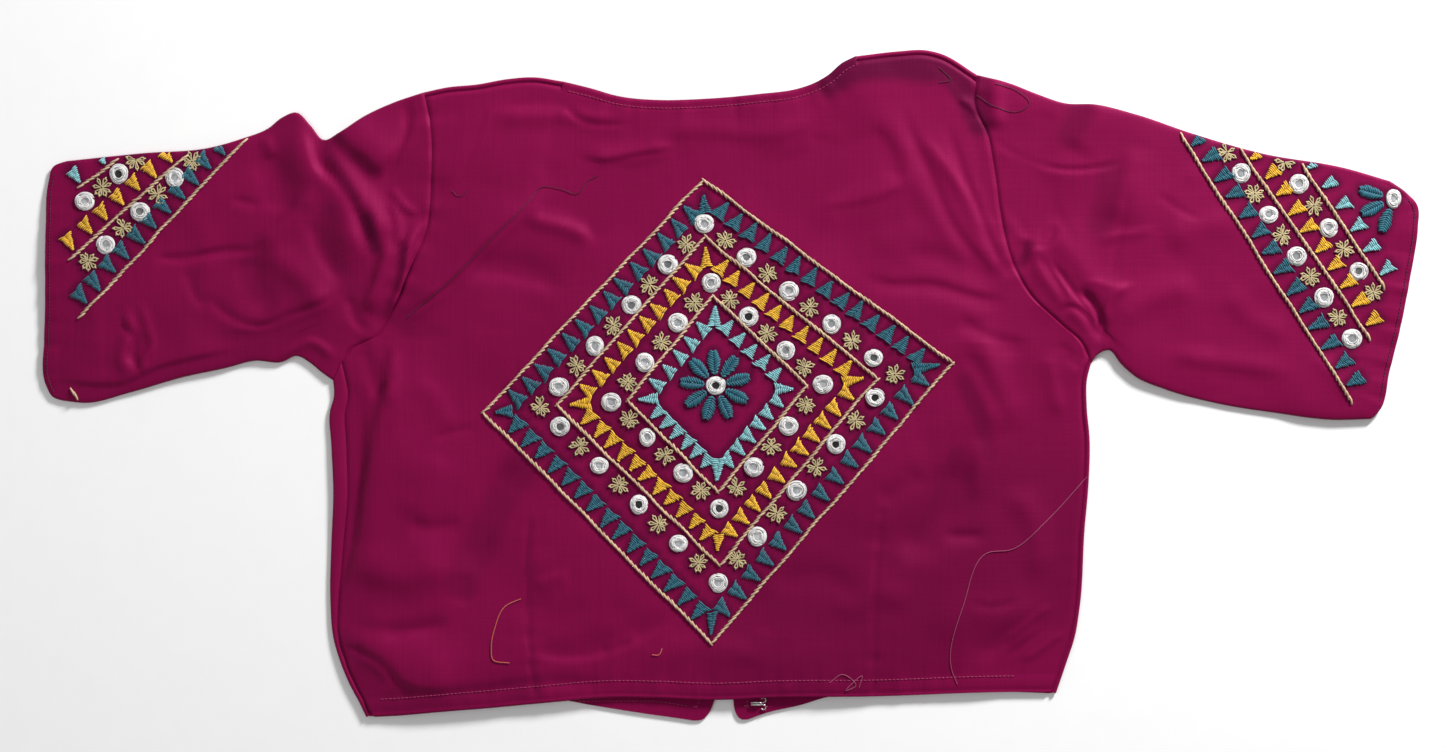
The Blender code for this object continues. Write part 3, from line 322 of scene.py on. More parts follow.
# Creases of the layers that lie on the ground, where the height lifts the cloth off it.
UNDER_FOLDS = (
    (((-200, 10), (-160, -40), (-120, -60)), 0.45, 6.0, 3.0),
    (((-150, 120), (-130, 80), (-90, 40)), 0.5, 4.0, 7.0),
    (((-210, -120), (-150, -130), (-90, -110)), 0.4, 8.0, 4.0),
    (((-60, -150), (-40, -90), (-60, -30)), 0.35, 5.0, 5.0),
    (((180, 20), (140, -20), (110, -80)), 0.5, 3.5, 6.0),
    (((120, 130), (96, 90), (60, 60)), 0.45, 6.0, 4.0),
    (((190, -140), (130, -150), (70, -120)), 0.4, 4.0, 8.0),
    (((40, -20), (60, -70), (50, -130)), 0.35, 6.0, 5.0),
    (((-260, 140), (-250, 90), (-230, 50)), 0.6, 4.0, 7.0),
    (((-280, 40), (-330, 50), (-370, 30)), 0.45, 6.0, 4.0),
    (((-210, 150), (-214, 110), (-204, 70)), 0.6, 3.0, 5.0),
    (((170, 130), (200, 110), (230, 70)), 0.6, 5.0, 3.5),
    (((240, 30), (280, 50), (330, 50)), 0.45, 7.0, 4.0),
    (((200, 160), (250, 130), (290, 110)), 0.4, 5.0, 6.0),
)
# Cloth that is darker, as it dips or turns from the light. Each row: route, half width, how dark
# from 0 to 1.
SHADED = (
    (((40, -150), (110, -112), (190, -92)), 60.0, 0.34),
    (((-400, 20), (-330, 20), (-280, 60)), 40.0, 0.12),
    (((-128, -50), (-148, -84), (-164, -120)), 11.0, 0.30),
    (((138, -42), (124, -74), (104, -106)), 5.5, 0.40),
    (((142, 2), (152, -20), (158, -42)), 5.5, 0.35),
    (((-123, -86), (-124, -103), (-123, -148), (-120, -186)), 1.2, 0.30),
    (((92, -80), (88, -121), (87, -184)), 1.3, 0.38),
    (((-225, -192), (-180, -190), (-120, -184)), 7.0, 0.30),
    (((-235, -160), (-222, -178)), 12.0, 0.30),
    (((177, 74), (182, 86)), 3.0, 0.50),
    (((-240, 153), (-230, 140), (-218, 131)), 5.0, 0.30),
    (((-248, 148), (-238, 132), (-228, 114)), 2.6, 0.45),
    (((-272, 158), (-272, 135), (-262, 112)), 9.0, 0.26),
    (((-292, 76), (-290, 60), (-280, 48)), 7.0, 0.26),
    (((-244, 104), (-242, 80), (-232, 60)), 7.0, 0.28),
    (((60, 186), (76, 194), (98, 196), (122, 194)), 10.0, 0.90),
    (((122, 196), (136, 188), (146, 174), (152, 160)), 8.0, 0.85),
    (((154, 190), (154, 176), (154, 160)), 4.6, 0.62),
    (((214, 172), (212, 162), (206, 152)), 8.0, 0.36),
    (((232, 130), (230, 116), (225, 98)), 7.5, 0.34),
    (((-221, 102), (-217, 84)), 4.0, 0.75),
    (((-200, 86), (-201, 66)), 3.0, 0.45),
)
DARTS = (((-123, -81), (-124, -103), (-123, -148), (-120, -188)), ((92, -77), (88, -121), (87, -186)))
DART_DEPTH = 0.9
DART_WIDTH = 1.3

# Embroidery: three nested diamonds on the back, each a border line with triangles inside it.
DIAMONDS = {
    # corners: top, right, bottom, left
    "outer": ((-17.1, 125.4), (134.8, 13.7), (-11.6, -157.1), (-150.7, -16.5)),
    "middle": ((-16.2, 90.6), (89.2, 4.5), (-6.9, -109.2), (-106.0, -12.1)),
    "inner": ((-11.0, 54.2), (46.1, -0.4), (-7.5, -64.7), (-63.1, -9.5)),
}
DIAMOND_CENTRE = (-9.5, 0.0)
TRIANGLES = (
    # border, colour, number on each upper side, number on each lower side
    ("outer", "teal", 14, 15),
    ("middle", "yellow", 10, 11),
    ("inner", "aqua", 5, 6),
)
TRIANGLE_SIZES = {
    # height, half of the base
    "teal": (11.2, 4.6),
    "yellow": (10.2, 4.2),
    "aqua": (9.6, 4.0),
}
CORNER_TRIANGLES = {
    # top, right, bottom, left: gap between the border's corner and the apex, height, half of the base
    "outer": ((9.0, 11.5, 4.2), (8.4, 16.0, 3.9), (4.6, 14.4, 3.2), (6.7, 11.0, 3.6)),
    "middle": ((7.0, 11.7, 3.5), (8.0, 13.4, 3.5), (8.0, 10.6, 3.0), (8.3, 12.5, 3.8)),
    "inner": ((6.0, 12.3, 4.0), (8.0, 11.7, 3.6), (7.2, 13.4, 4.6), (6.3, 12.6, 3.5)),
}
MOTIF_TRACK = 0.77  # share of the way from one border to the next
SLEEVE_TRACK = 0.70
RING_PLACES = (("outer", "middle", 9), ("middle", "inner", 6))
TRIANGLE_INSET = 2.4  # from the border's middle to the apex
STRAND_PITCH = 1.08
STRAND_RADIUS = 0.49
CORNER_ROOM = 14.0  # the triangles along a side keep this far from its corners
SLEEVE_BORDERS = {
    # each from the fold to the cuff
    "left": (
        ((-294.0, 152.8), (-397.1, 41.2)),
        ((-331.8, 140.6), (-403.2, 77.2)),
        ((-371.5, 140.0), (-397.7, 120.5)),
    ),
    "right": (
        ((272.1, 155.9), (378.8, -10.1)),
        ((310.5, 143.7), (389.8, 28.4)),
        ((346.5, 136.9), (398.3, 59.5)),
    ),
}
SLEEVE_TRIANGLES = {
    # colour, number, shares along the border of the first and the last
    "left": (("teal", 11, 0.12, 0.93), ("yellow", 7, 0.10, 0.92), ("aqua", 2, 0.34, 0.92)),
    "right": (("teal", 14, 0.06, 0.95), ("yellow", 10, 0.06, 0.94), ("aqua", 6, 0.07, 0.90)),
}
SLEEVE_TRACKS = {
    # number of places, shares of the first and the last; the first is a flower
    "left": ((7, 0.10, 0.88), (4, 0.08, 0.86)),
    "right": ((10, 0.04, 0.91), (7, 0.03, 0.93)),
}
RIGHT_SLEEVE_CENTRE = (404.0, 114.0)
STRAY_BORDER = ((-403, -3), (-397, -10))
MIRROR_RADIUS = 3.1
GLASS_LIFT = 0.66
GLASS_FALL = 0.035  # for each millimetre out from the middle
MIRROR_RINGS = (
    # radius, height
    (5.85, 0.30),
    (5.35, 0.70),
    (4.80, 1.00),
    (4.25, 1.15),
    (3.70, 1.20),
    (3.15, 1.10),
    (2.70, 0.90),
)
ARC_RISE = np.array([-0.7, -0.1, 0.0, 0.05, 0.05, 0.0, -0.1, -0.7])
ARC_SIZE = np.array([0.7, 0.95, 1.0, 1.0, 1.0, 1.0, 0.95, 0.7])
# Painted shade round the embroidery: the cloth is darkened near stitches, fading out further away.
PAINTED_SHADE_NEAR = 1.2  # cloth is darkest out to here from a stitch
PAINTED_SHADE_FAR = 6.0
PAINTED_SHADE_DARK = 0.88
PETALS = 9
PETAL_START = 7.0
PETAL_LENGTH = 16.6
PETAL_HALF = 3.3
FLOWER_RADIUS = 6.0
FLOWER_LOOPS = 8
FLOWER_THREAD = 0.43  # radius
FLOWER_LIFT = 0.42
RAY_START = 60.0  # well above the cloth

# Loose ends of thread, and a painted crease shadow: route, colour. The first row's straight part is a thin
# thread in the cloth's shadow colour, laid along a crease as its painted shadow line; its curled end is a
# loose thread.
STRAYS_AND_CREASE_LINE = (
    (((-198, 41), (-173, 62), (-142, 93), (-126, 109), (-115, 121), (-104, 120), (-93, 117), (-88, 124),
      (-81, 128)), "dark"),
    (((150, 177), (161, 170), (178, 168), (182, 172), (174, 180), (161, 184)), "dark"),
    (((127, 194), (134, 186), (127, 185)), "dark"),
    (((-170, 119), (-167, 116), (-163, 116), (-161, 119)), "dark"),
    (((-128, -130), (-138, -135), (-144, -148), (-146, -159), (-145, -167), (-135, -169)), "rust"),
    (((217, -56), (192, -83), (171, -100), (156, -102), (142, -132), (135, -175), (138, -182)), "pale"),
    (((214, -119), (203, -146), (183, -167), (174, -188)), "pale"),
    (((60, -181), (68, -176), (76, -183), (70, -186), (80, -177), (78, -184)), "pale"),
    (((-48, -164), (-44, -164), (-42, -160)), "rust"),
)

STRAY_AND_CREASE_RADIUS = {"dark": 0.17, "rust": 0.36, "pale": 0.22}

# Hooks inside the right front's edge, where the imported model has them.
HOOK_ROWS_Y = (-194.1, -151.0, -108.0, -65.0, -22.0, 21.0)
WIRE = 0.85
HOOK_TIP_X = 11.8
HOOK_LENGTH = 8.0
HOOK_BILL = 6.0
HOOK_BEND = 0.58
HOOK_WIRES_APART = 1.3
HOOK_LOOP = 1.5
HOOK_BED = 2.175

COLOURS = {
    # linear red, green, blue
    "cloth": (0.182, 0.0024, 0.045),
    "cloth_dark": (0.128, 0.0012, 0.033),
    "cloth_light": (0.222, 0.0036, 0.057),
    # The next colour is painted shade, mixed into the cloth round the embroidery and along the SHADED
    # routes.
    "cloth_painted_shade": (0.060, 0.0012, 0.020),
    "seam_thread": (0.330, 0.020, 0.105),
    "border": (0.560, 0.390, 0.245),
    "flower": (0.500, 0.410, 0.215),
    "teal": (0.0130, 0.125, 0.180),
    "yellow": (0.790, 0.445, 0.022),
    "aqua": (0.230, 0.520, 0.560),
    "white": (0.700, 0.690, 0.680),
    # dark is also the shadow colour of the painted crease line in the first loose thread.
    "dark": (0.045, 0.001, 0.020),
    "rust": (0.520, 0.085, 0.070),
    "pale": (0.360, 0.060, 0.150),
    # The two glass colours are painted reflections: a dark surrounding, and a lamp's white.
    "painted_dark_reflection": (0.015, 0.014, 0.012),
    "painted_lamp_reflection": (1.0, 1.0, 1.0),
    "floor_low": (0.90, 0.90, 0.90),
    "floor_high": (0.93, 0.93, 0.93),
}
METALS = {
    # dark and light tones, roughness, how metallic
    "mirror": ((0.50, 0.51, 0.53), (0.82, 0.83, 0.86), 0.20, 0.72),
    "wire": ((0.42, 0.41, 0.40), (0.80, 0.79, 0.78), 0.24, 1.0),
}
FLOOR_HALF = 3.0  # metres
FLOOR_Z = -0.0002


def ease(value):
    """A smooth step from 0 to 1."""
    value = np.clip(value, 0.0, 1.0)
    return value * value * (3.0 - 2.0 * value)


def lengths(line):
    steps = np.linalg.norm(np.diff(line, axis=0), axis=1)
    return np.concatenate([[0.0], np.cumsum(steps)])


def at_lengths(line, places):
    along = lengths(line)
    return np.stack([np.interp(places, along, line[:, k]) for k in range(line.shape[1])], axis=1)


def smooth(points, per_span=12):
    """A dense smooth line through the points, by Catmull-Rom spans spaced by chord."""
    points = np.array(points, float)
    ends = np.vstack([2 * points[0] - points[1], points, 2 * points[-1] - points[-2]])
    knots = lengths(ends)
    made = []
    for i in range(1, len(ends) - 2):
        p0, p1, p2, p3 = ends[i - 1 : i + 3]
        k0, k1, k2, k3 = knots[i - 1 : i + 3]
        slope1 = (p1 - p0) / (k1 - k0) - (p2 - p0) / (k2 - k0) + (p2 - p1) / (k2 - k1)
        slope2 = (p2 - p1) / (k2 - k1) - (p3 - p1) / (k3 - k1) + (p3 - p2) / (k3 - k2)
        t = np.linspace(0.0, 1.0, per_span, endpoint=False)[:, None]
        span = k2 - k1
        made.append(
            (2 * t**3 - 3 * t**2 + 1) * p1
            + (t**3 - 2 * t**2 + t) * slope1 * span
            + (3 * t**2 - 2 * t**3) * p2
            + (t**3 - t**2) * slope2 * span
        )
    return np.vstack([*made, ends[-2:-1]])


def even(line, count):
    return at_lengths(line, np.linspace(0.0, lengths(line)[-1], count + 1))


def rows_along(line, count, start=False, end=False):
    """count + 1 points along a line, crowded where its start or end is a seam or a turned edge."""
    total = lengths(line)[-1]
    near = np.array(CROWD)
    first = near if start else near[:1]
    last = total - (near if end else near[:1])[::-1]
    middle = np.linspace(first[-1], last[0], count + 3 - len(first) - len(last))
    return at_lengths(line, np.concatenate([first[:-1], middle, last[1:]]))


def normals(line):
    """Unit normals to the left of the line's direction."""
    along = np.gradient(line, axis=0)
    across = np.stack([-along[:, 1], along[:, 0]], axis=1)
    return across / np.linalg.norm(across, axis=1)[:, None]


def joined(*lines):
    """Lines laid end to end, each start left out where it repeats the end before it."""
    return np.vstack([lines[0]] + [line[1:] for line in lines[1:]])


def patch(bottom, top, left, right):
    """A grid between four edges, bottom and top from left to right, left and right from bottom up."""
    u = (lengths(bottom) / lengths(bottom)[-1])[None, :, None]
    v = (lengths(left) / lengths(left)[-1])[:, None, None]
    flat = (
        (1 - u) * (1 - v) * bottom[0]
        + u * (1 - v) * bottom[-1]
        + (1 - u) * v * top[0]
        + u * v * top[-1]
    )
    grid = (1 - v) * bottom[None] + v * top[None] + (1 - u) * left[:, None] + u * right[:, None] - flat
    return unfolded(grid)


def unfolded(grid):
    """The grid with its inner points evened out wherever a cell was turned over."""
    for _ in range(UNFOLD_ROUNDS):
        first = grid[1:, 1:] - grid[:-1, :-1]
        second = grid[1:, :-1] - grid[:-1, 1:]
        area = first[..., 0] * second[..., 1] - first[..., 1] * second[..., 0]
        turned_over = area * np.sign(np.median(area)) < LEAST_CELL
        near = np.zeros(grid.shape[:2], bool)
        for i, j in np.argwhere(turned_over):
            rows = slice(max(i - UNFOLD_NEAR, 0), i + UNFOLD_NEAR + 2)
            columns = slice(max(j - UNFOLD_NEAR, 0), j + UNFOLD_NEAR + 2)
            near[rows, columns] = True
        near = near[1:-1, 1:-1, None]
        if not near.any():
            break
        mean = (grid[:-2, 1:-1] + grid[2:, 1:-1] + grid[1:-1, :-2] + grid[1:-1, 2:]) / 4
        grid[1:-1, 1:-1] = np.where(near, mean, grid[1:-1, 1:-1])
    return grid


def nearest(points, line):
    """For each point: its distance to the line, the length along the line, and which side it is on."""
    best = np.full(len(points), 1e9)
    place = np.zeros(len(points))
    side = np.ones(len(points))
    for start, end, begins in zip(line[:-1], line[1:], lengths(line)):
        step = end - start
        size = math.hypot(*step)
        away = points - start
        share = np.clip(away @ step / size**2, 0.0, 1.0)
        distance = np.linalg.norm(away - share[:, None] * step, axis=1)
        nearer = distance < best
        best[nearer] = distance[nearer]
        place[nearer] = begins + share[nearer] * size
        side[nearer] = np.sign(step[0] * away[nearer, 1] - step[1] * away[nearer, 0])
    return best, place, side


def relief(points, table, scale=1.0):
    """Height that a table of folds adds at points, shaped (..., 2)."""
    flat = points.reshape(-1, 2)
    total = np.zeros(len(flat))
    for route, height, left, right in table:
        line = even(smooth(route, 6), 16)
        reach = 3.0 * max(left, right)
        near = ((flat > line.min(axis=0) - reach) & (flat < line.max(axis=0) + reach)).all(axis=1)
        away, place, side = nearest(flat[near], line)
        share = place / lengths(line)[-1]
        ends = ease(share * 4.0) * ease((1.0 - share) * 4.0)
        width = np.where(side > 0, left, right)
        total[near] += scale * height * ends * np.exp(-((away / width) ** 2))
    return total.reshape(points.shape[:-1])


def noise(points, size, seed):
    """Smooth random heights from -1 to 1, with hills about this size across."""
    table = np.random.default_rng(seed).uniform(-1.0, 1.0, (64, 64))
    turn = 0.6 + seed
    x = points[..., 0] * math.cos(turn) - points[..., 1] * math.sin(turn)
    y = points[..., 0] * math.sin(turn) + points[..., 1] * math.cos(turn)
    place = np.stack([x, y], axis=-1) / size + 32.0
    cell = np.floor(place).astype(int)
    share = ease(place - cell)
    i, j = cell[..., 0] % 64, cell[..., 1] % 64
    after_i, after_j = (i + 1) % 64, (j + 1) % 64
    sx, sy = share[..., 0], share[..., 1]
    low = table[i, j] * (1 - sx) + table[after_i, j] * sx
    high = table[i, after_j] * (1 - sx) + table[after_i, after_j] * sx
    return low * (1 - sy) + high * sy


def waves(along, spacing, seed):
    """Uneven waves from -1 to 1 along a seam."""
    table = np.random.default_rng(seed).uniform(-1.0, 1.0, 512)
    place = along / spacing
    cell = np.floor(place).astype(int)
    share = ease(place - cell)
    return table[cell % 512] * (1 - share) + table[(cell + 1) % 512] * share


def undulation(points):
    """The cloth's own unevenness, from broad swells down to small dents."""
    return sum(height * noise(points, size, seed) for height, size, seed in UNDULATION)


def puckers(points, line, spacing, height, reach, seed):
    """Small waves across a line of stitches, dying away on both sides."""
    flat = points.reshape(-1, 2)
    away, place, _ = nearest(flat, line)
    made = height * waves(place, spacing, seed) * np.exp(-away / reach)
    return made.reshape(points.shape[:-1])


def groove(points, line, depth, width):
    away, _, _ = nearest(points.reshape(-1, 2), line)
    return -depth * np.exp(-((away.reshape(points.shape[:-1]) / width) ** 2))


def kept_up(height):
    """Keeps the inner face off the layer below, without a sharp edge where it bottoms out."""
    over = height - LEAST_LIFT
    return LEAST_LIFT + (over + np.sqrt(over**2 + LIFT_SOFTNESS**2)) / 2


def with_height(points, height):
    return np.concatenate([points, np.broadcast_to(height, points.shape[:-1])[..., None]], axis=-1)


def inside(line, distance):
    """A line moved to its left, or to its right where the distance is negative."""
    return line + normals(line) * distance


class Cloth:
    """Outer points and faces of one piece of cloth, which become a closed thin wall."""

    def __init__(self):
        self.outer, self.thickness, self.faces = [], [], []
        self.count = 0

    def points(self, outer, thickness=SHELL):
        shape = outer.shape[:-1]
        numbers = np.arange(self.count, self.count + int(np.prod(shape))).reshape(shape)
        self.outer.append(outer.reshape(-1, 3))
        self.thickness.append(np.broadcast_to(thickness, shape).ravel())
        self.count += numbers.size
        return numbers

    def quads(self, grid, turned=False):
        """Faces over a grid of point numbers. They face up where rows go up and columns right."""
        corners = [grid[:-1, :-1], grid[:-1, 1:], grid[1:, 1:], grid[1:, :-1]]
        made = np.stack(corners, axis=-1).reshape(-1, 4)
        self.faces.append(made[:, ::-1] if turned else made)

    def surface(self):
        return np.vstack(self.outer), np.vstack(self.faces)

    def wall(self):
        """Points and faces of the closed wall, its inner side one thickness in from the outer one."""
        outer, faces = self.surface()
        corners = outer[faces]
        across = np.cross(corners[:, 2] - corners[:, 0], corners[:, 3] - corners[:, 1])
        facing = np.zeros_like(outer)
        for k in range(4):
            np.add.at(facing, faces[:, k], across)
        facing /= np.maximum(np.linalg.norm(facing, axis=1), 1e-9)[:, None]
        inner = outer - facing * np.concatenate(self.thickness)[:, None]
        starts = faces.ravel()
        ends = np.roll(faces, -1, axis=1).ravel()
        ahead = starts.astype(np.int64) * len(outer) + ends
        behind = ends.astype(np.int64) * len(outer) + starts
        rim = ~np.isin(ahead, behind)
        first, second = starts[rim], ends[rim]
        sides = np.stack([second, first, first + len(outer), second + len(outer)], axis=1)
        return np.vstack([outer, inner]), np.vstack([faces, faces[:, ::-1] + len(outer), sides])


class Threads:
    """Tubes of thread gathered into one mesh, each with its own shade."""

    def __init__(self, seed):
        self.made, self.quads, self.caps, self.shades, self.places = [], [], [], [], []
        self.count = 0
        self.random = np.random.default_rng(seed)

    def add(self, paths, radius, sides=5):
        """paths is shaped (number, stations, 3), and radius fits (number, stations).

        A path that leaves the cloth is left out.
        """
        paths = paths[np.isfinite(paths).all(axis=(1, 2))]
        if not len(paths):
            return
        number, stations = paths.shape[:2]
        along = np.gradient(paths, axis=1)
        along = along / np.linalg.norm(along, axis=-1, keepdims=True)
        across = np.stack([along[..., 1], -along[..., 0], np.full(along.shape[:-1], 1e-6)], axis=-1)
        across /= np.linalg.norm(across, axis=-1, keepdims=True)
        upward = np.cross(across, along)
        turns = 2 * math.pi * np.arange(sides) / sides
        spoke = (
            across[:, :, None] * np.cos(turns)[None, None, :, None]
            + upward[:, :, None] * np.sin(turns)[None, None, :, None]
        )
        size = np.broadcast_to(radius, (number, stations))[..., None, None]
        points = paths[:, :, None] + spoke * size
        grid = self.count + np.arange(number * stations * sides).reshape(number, stations, sides)
        lower, upper = grid[:, :-1], grid[:, 1:]
        corners = [lower, np.roll(lower, -1, axis=2), np.roll(upper, -1, axis=2), upper]
        self.quads.append(np.stack(corners, axis=-1).reshape(-1, 4))
        self.caps.append(grid[:, 0, ::-1])
        self.caps.append(grid[:, -1])
        self.made.append(points.reshape(-1, 3))
        self.places.append(paths.mean(axis=1))
        shade = self.random.uniform(0.0, 1.0, number)
        self.shades.append(np.repeat(shade, stations * sides))
        self.count += grid.size

    def mesh(self, name, colour):
        faces = [np.vstack(self.quads)]
        by_sides = {}
        for cap in self.caps:
            by_sides.setdefault(cap.shape[1], []).append(cap)
        faces += [np.vstack(group) for group in by_sides.values()]
        piece = object_of(name, np.vstack(self.made), faces, material_of(colour), sharp=80)
        number_points(piece, "shade", np.concatenate(self.shades))
        return piece


class Ground:
    """The cloth that threads lie on, as a surface to look heights up on."""

    def __init__(self, cloths):
        points, faces, count = [], [], 0
        for cloth in cloths:
            corners, quads = cloth.wall()
            points.append(corners)
            faces.append(quads + count)
            count += len(corners)
        self.tree = BVHTree.FromPolygons(np.vstack(points).tolist(), np.vstack(faces).tolist())

    def heights(self, places):
        """Height of the surface at places, shaped (..., 2), and not a number off the cloth."""
        found = []
        for x, y in places.reshape(-1, 2).tolist():
            hit = self.tree.ray_cast((x, y, RAY_START), (0.0, 0.0, -1.0))[0]
            found.append(hit.z if hit else math.nan)
        return np.array(found).reshape(places.shape[:-1])


def object_of(name, points, faces, material, sharp=50):
    """An object in metres from points in millimetres and arrays of faces."""
    faces = faces if isinstance(faces, list) else [faces]
    corners = np.concatenate([f.ravel() for f in faces]).astype(np.int32)
    sizes = np.concatenate([np.full(len(f), f.shape[1]) for f in faces])
    starts = np.concatenate([[0], np.cumsum(sizes)[:-1]]).astype(np.int32)
    placed = (points + np.array([*MOVED, 0.0])) * METRE
    mesh = bpy.data.meshes.new(name)
    mesh.vertices.add(len(points))
    mesh.vertices.foreach_set("co", placed.astype(np.float32).ravel())
    mesh.loops.add(len(corners))
    mesh.loops.foreach_set("vertex_index", corners)
    mesh.polygons.add(len(sizes))
    mesh.polygons.foreach_set("loop_start", starts)
    mesh.update(calc_edges=True)
    mesh.validate()
    mesh.shade_smooth()
    mesh.set_sharp_from_angle(angle=math.radians(sharp))
    mesh.materials.append(material)
    piece = bpy.data.objects.new(name, mesh)
    bpy.context.scene.collection.objects.link(piece)
    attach(piece, "root")
    return piece


def number_points(piece, name, values):
    """Gives each point of a piece a number that its material reads."""
    made = piece.data.attributes.new(name, "FLOAT", "POINT")
    made.data.foreach_set("value", np.asarray(values, np.float32))


# Materials.
def new_material(name):
    made = bpy.data.materials.new(name)
    made.use_nodes = True
    return made, made.node_tree, made.node_tree.nodes["Principled BSDF"]


def noise_node(tree, scale, detail=2.0, stretch=(1.0, 1.0, 1.0)):
    """A noise texture in the object's own metres, stretched along the axes."""
    where = tree.nodes.new("ShaderNodeTexCoord")
    mapping = tree.nodes.new("ShaderNodeMapping")
    mapping.inputs["Scale"].default_value = stretch
    made = tree.nodes.new("ShaderNodeTexNoise")
    made.inputs["Scale"].default_value = scale
    made.inputs["Detail"].default_value = detail
    tree.links.new(where.outputs["Object"], mapping.inputs["Vector"])
    tree.links.new(mapping.outputs["Vector"], made.inputs["Vector"])
    return made


def mixed(tree, share, first, second):
    """A colour between two others. Each is an output or a tuple."""
    mix = tree.nodes.new("ShaderNodeMix")
    mix.data_type = "RGBA"
    for socket, value in ((mix.inputs[0], share), (mix.inputs[6], first), (mix.inputs[7], second)):
        if isinstance(value, tuple):
            socket.default_value = (*value, 1.0)
        else:
            tree.links.new(value, socket)
    return mix.outputs[2]


def ranged(tree, value, low, high, new_low=0.0, new_high=1.0):
    made = tree.nodes.new("ShaderNodeMapRange")
    for name, number in zip(("From Min", "From Max", "To Min", "To Max"), (low, high, new_low, new_high)):
        made.inputs[name].default_value = number
    tree.links.new(value, made.inputs["Value"])
    return made.outputs["Result"]


def bumped(tree, shader, layers):
    """Bump from several heights, each with the distance in metres that it stands for."""
    last = None
    for height, distance in layers:
        bump = tree.nodes.new("ShaderNodeBump")
        bump.inputs["Distance"].default_value = distance
        tree.links.new(height, bump.inputs["Height"])
        if last:
            tree.links.new(last, bump.inputs["Normal"])
        last = bump.outputs["Normal"]
    tree.links.new(last, shader.inputs["Normal"])


def cloth_material():
    """Plain woven art silk: fine crossing threads, thicker slubs down its length, and a soft sheen."""
    made, tree, shader = new_material("cloth")
    slub = noise_node(tree, 30.0, 3.0, (18.0, 0.7, 1.0)).outputs["Fac"]
    cross = noise_node(tree, 30.0, 2.0, (0.8, 14.0, 1.0)).outputs["Fac"]
    broad = noise_node(tree, 9.0, 2.0).outputs["Fac"]
    weave = []
    for direction in ("X", "Y"):
        wave = tree.nodes.new("ShaderNodeTexWave")
        wave.bands_direction = direction
        wave.inputs["Scale"].default_value = 780.0
        wave.inputs["Distortion"].default_value = 0.6
        where = tree.nodes.new("ShaderNodeTexCoord")
        tree.links.new(where.outputs["Object"], wave.inputs["Vector"])
        weave.append(wave.outputs["Fac"])
    colour = mixed(tree, ranged(tree, slub, 0.25, 0.78), COLOURS["cloth_dark"], COLOURS["cloth_light"])
    colour = mixed(tree, ranged(tree, cross, 0.25, 0.75, 0.60, 0.88), colour, COLOURS["cloth"])
    colour = mixed(tree, ranged(tree, broad, 0.35, 0.70, 0.0, 0.35), colour, COLOURS["cloth_dark"])
    # Painted shade round the embroidery and along the SHADED routes darkens the base colour, read from a
    # point attribute.
    painted_shade = tree.nodes.new("ShaderNodeAttribute")
    painted_shade.attribute_name = "painted_shade"
    shaded = ranged(tree, painted_shade.outputs["Fac"], 0.0, 1.0, 0.0, PAINTED_SHADE_DARK)
    colour = mixed(tree, shaded, colour, COLOURS["cloth_painted_shade"])
    tree.links.new(colour, shader.inputs["Base Color"])
    tree.links.new(ranged(tree, slub, 0.2, 0.8, 0.60, 0.50), shader.inputs["Roughness"])
    shader.inputs["Specular IOR Level"].default_value = 0.38
    shader.inputs["Specular Tint"].default_value = (1.0, 0.10, 0.36, 1.0)
    shader.inputs["Sheen Weight"].default_value = 0.06
    shader.inputs["Sheen Roughness"].default_value = 0.45
    shader.inputs["Sheen Tint"].default_value = (1.0, 0.12, 0.42, 1.0)
    heights = ((weave[0], 0.00002), (weave[1], 0.00002), (slub, 0.00010), (cross, 0.00007))
    bumped(tree, shader, heights)
    return made


def thread_material(colour):
    """Twisted thread: fine slanting plies, and a shade of its own for each stitch."""
    made, tree, shader = new_material(f"thread_{colour}")
    red, green, blue = COLOURS[colour]
    dark = (red * 0.50, green * 0.50, blue * 0.50)
    light = tuple(min(1.0, 1.2 * part) for part in (red, green, blue))
    shade = tree.nodes.new("ShaderNodeAttribute")
    shade.attribute_name = "shade"
    fibre = noise_node(tree, 900.0, 3.0, (1.0, 2.2, 1.0)).outputs["Fac"]
    tone = mixed(tree, shade.outputs["Fac"], dark, light)
    tone = mixed(tree, ranged(tree, fibre, 0.30, 0.70, 0.15, 0.85), tone, (red, green, blue))
    tree.links.new(tone, shader.inputs["Base Color"])
    tree.links.new(ranged(tree, fibre, 0.3, 0.7, 0.62, 0.48), shader.inputs["Roughness"])
    shader.inputs["Sheen Weight"].default_value = 0.15
    shader.inputs["Specular IOR Level"].default_value = 0.35
    bumped(tree, shader, ((fibre, 0.00018),))
    return made


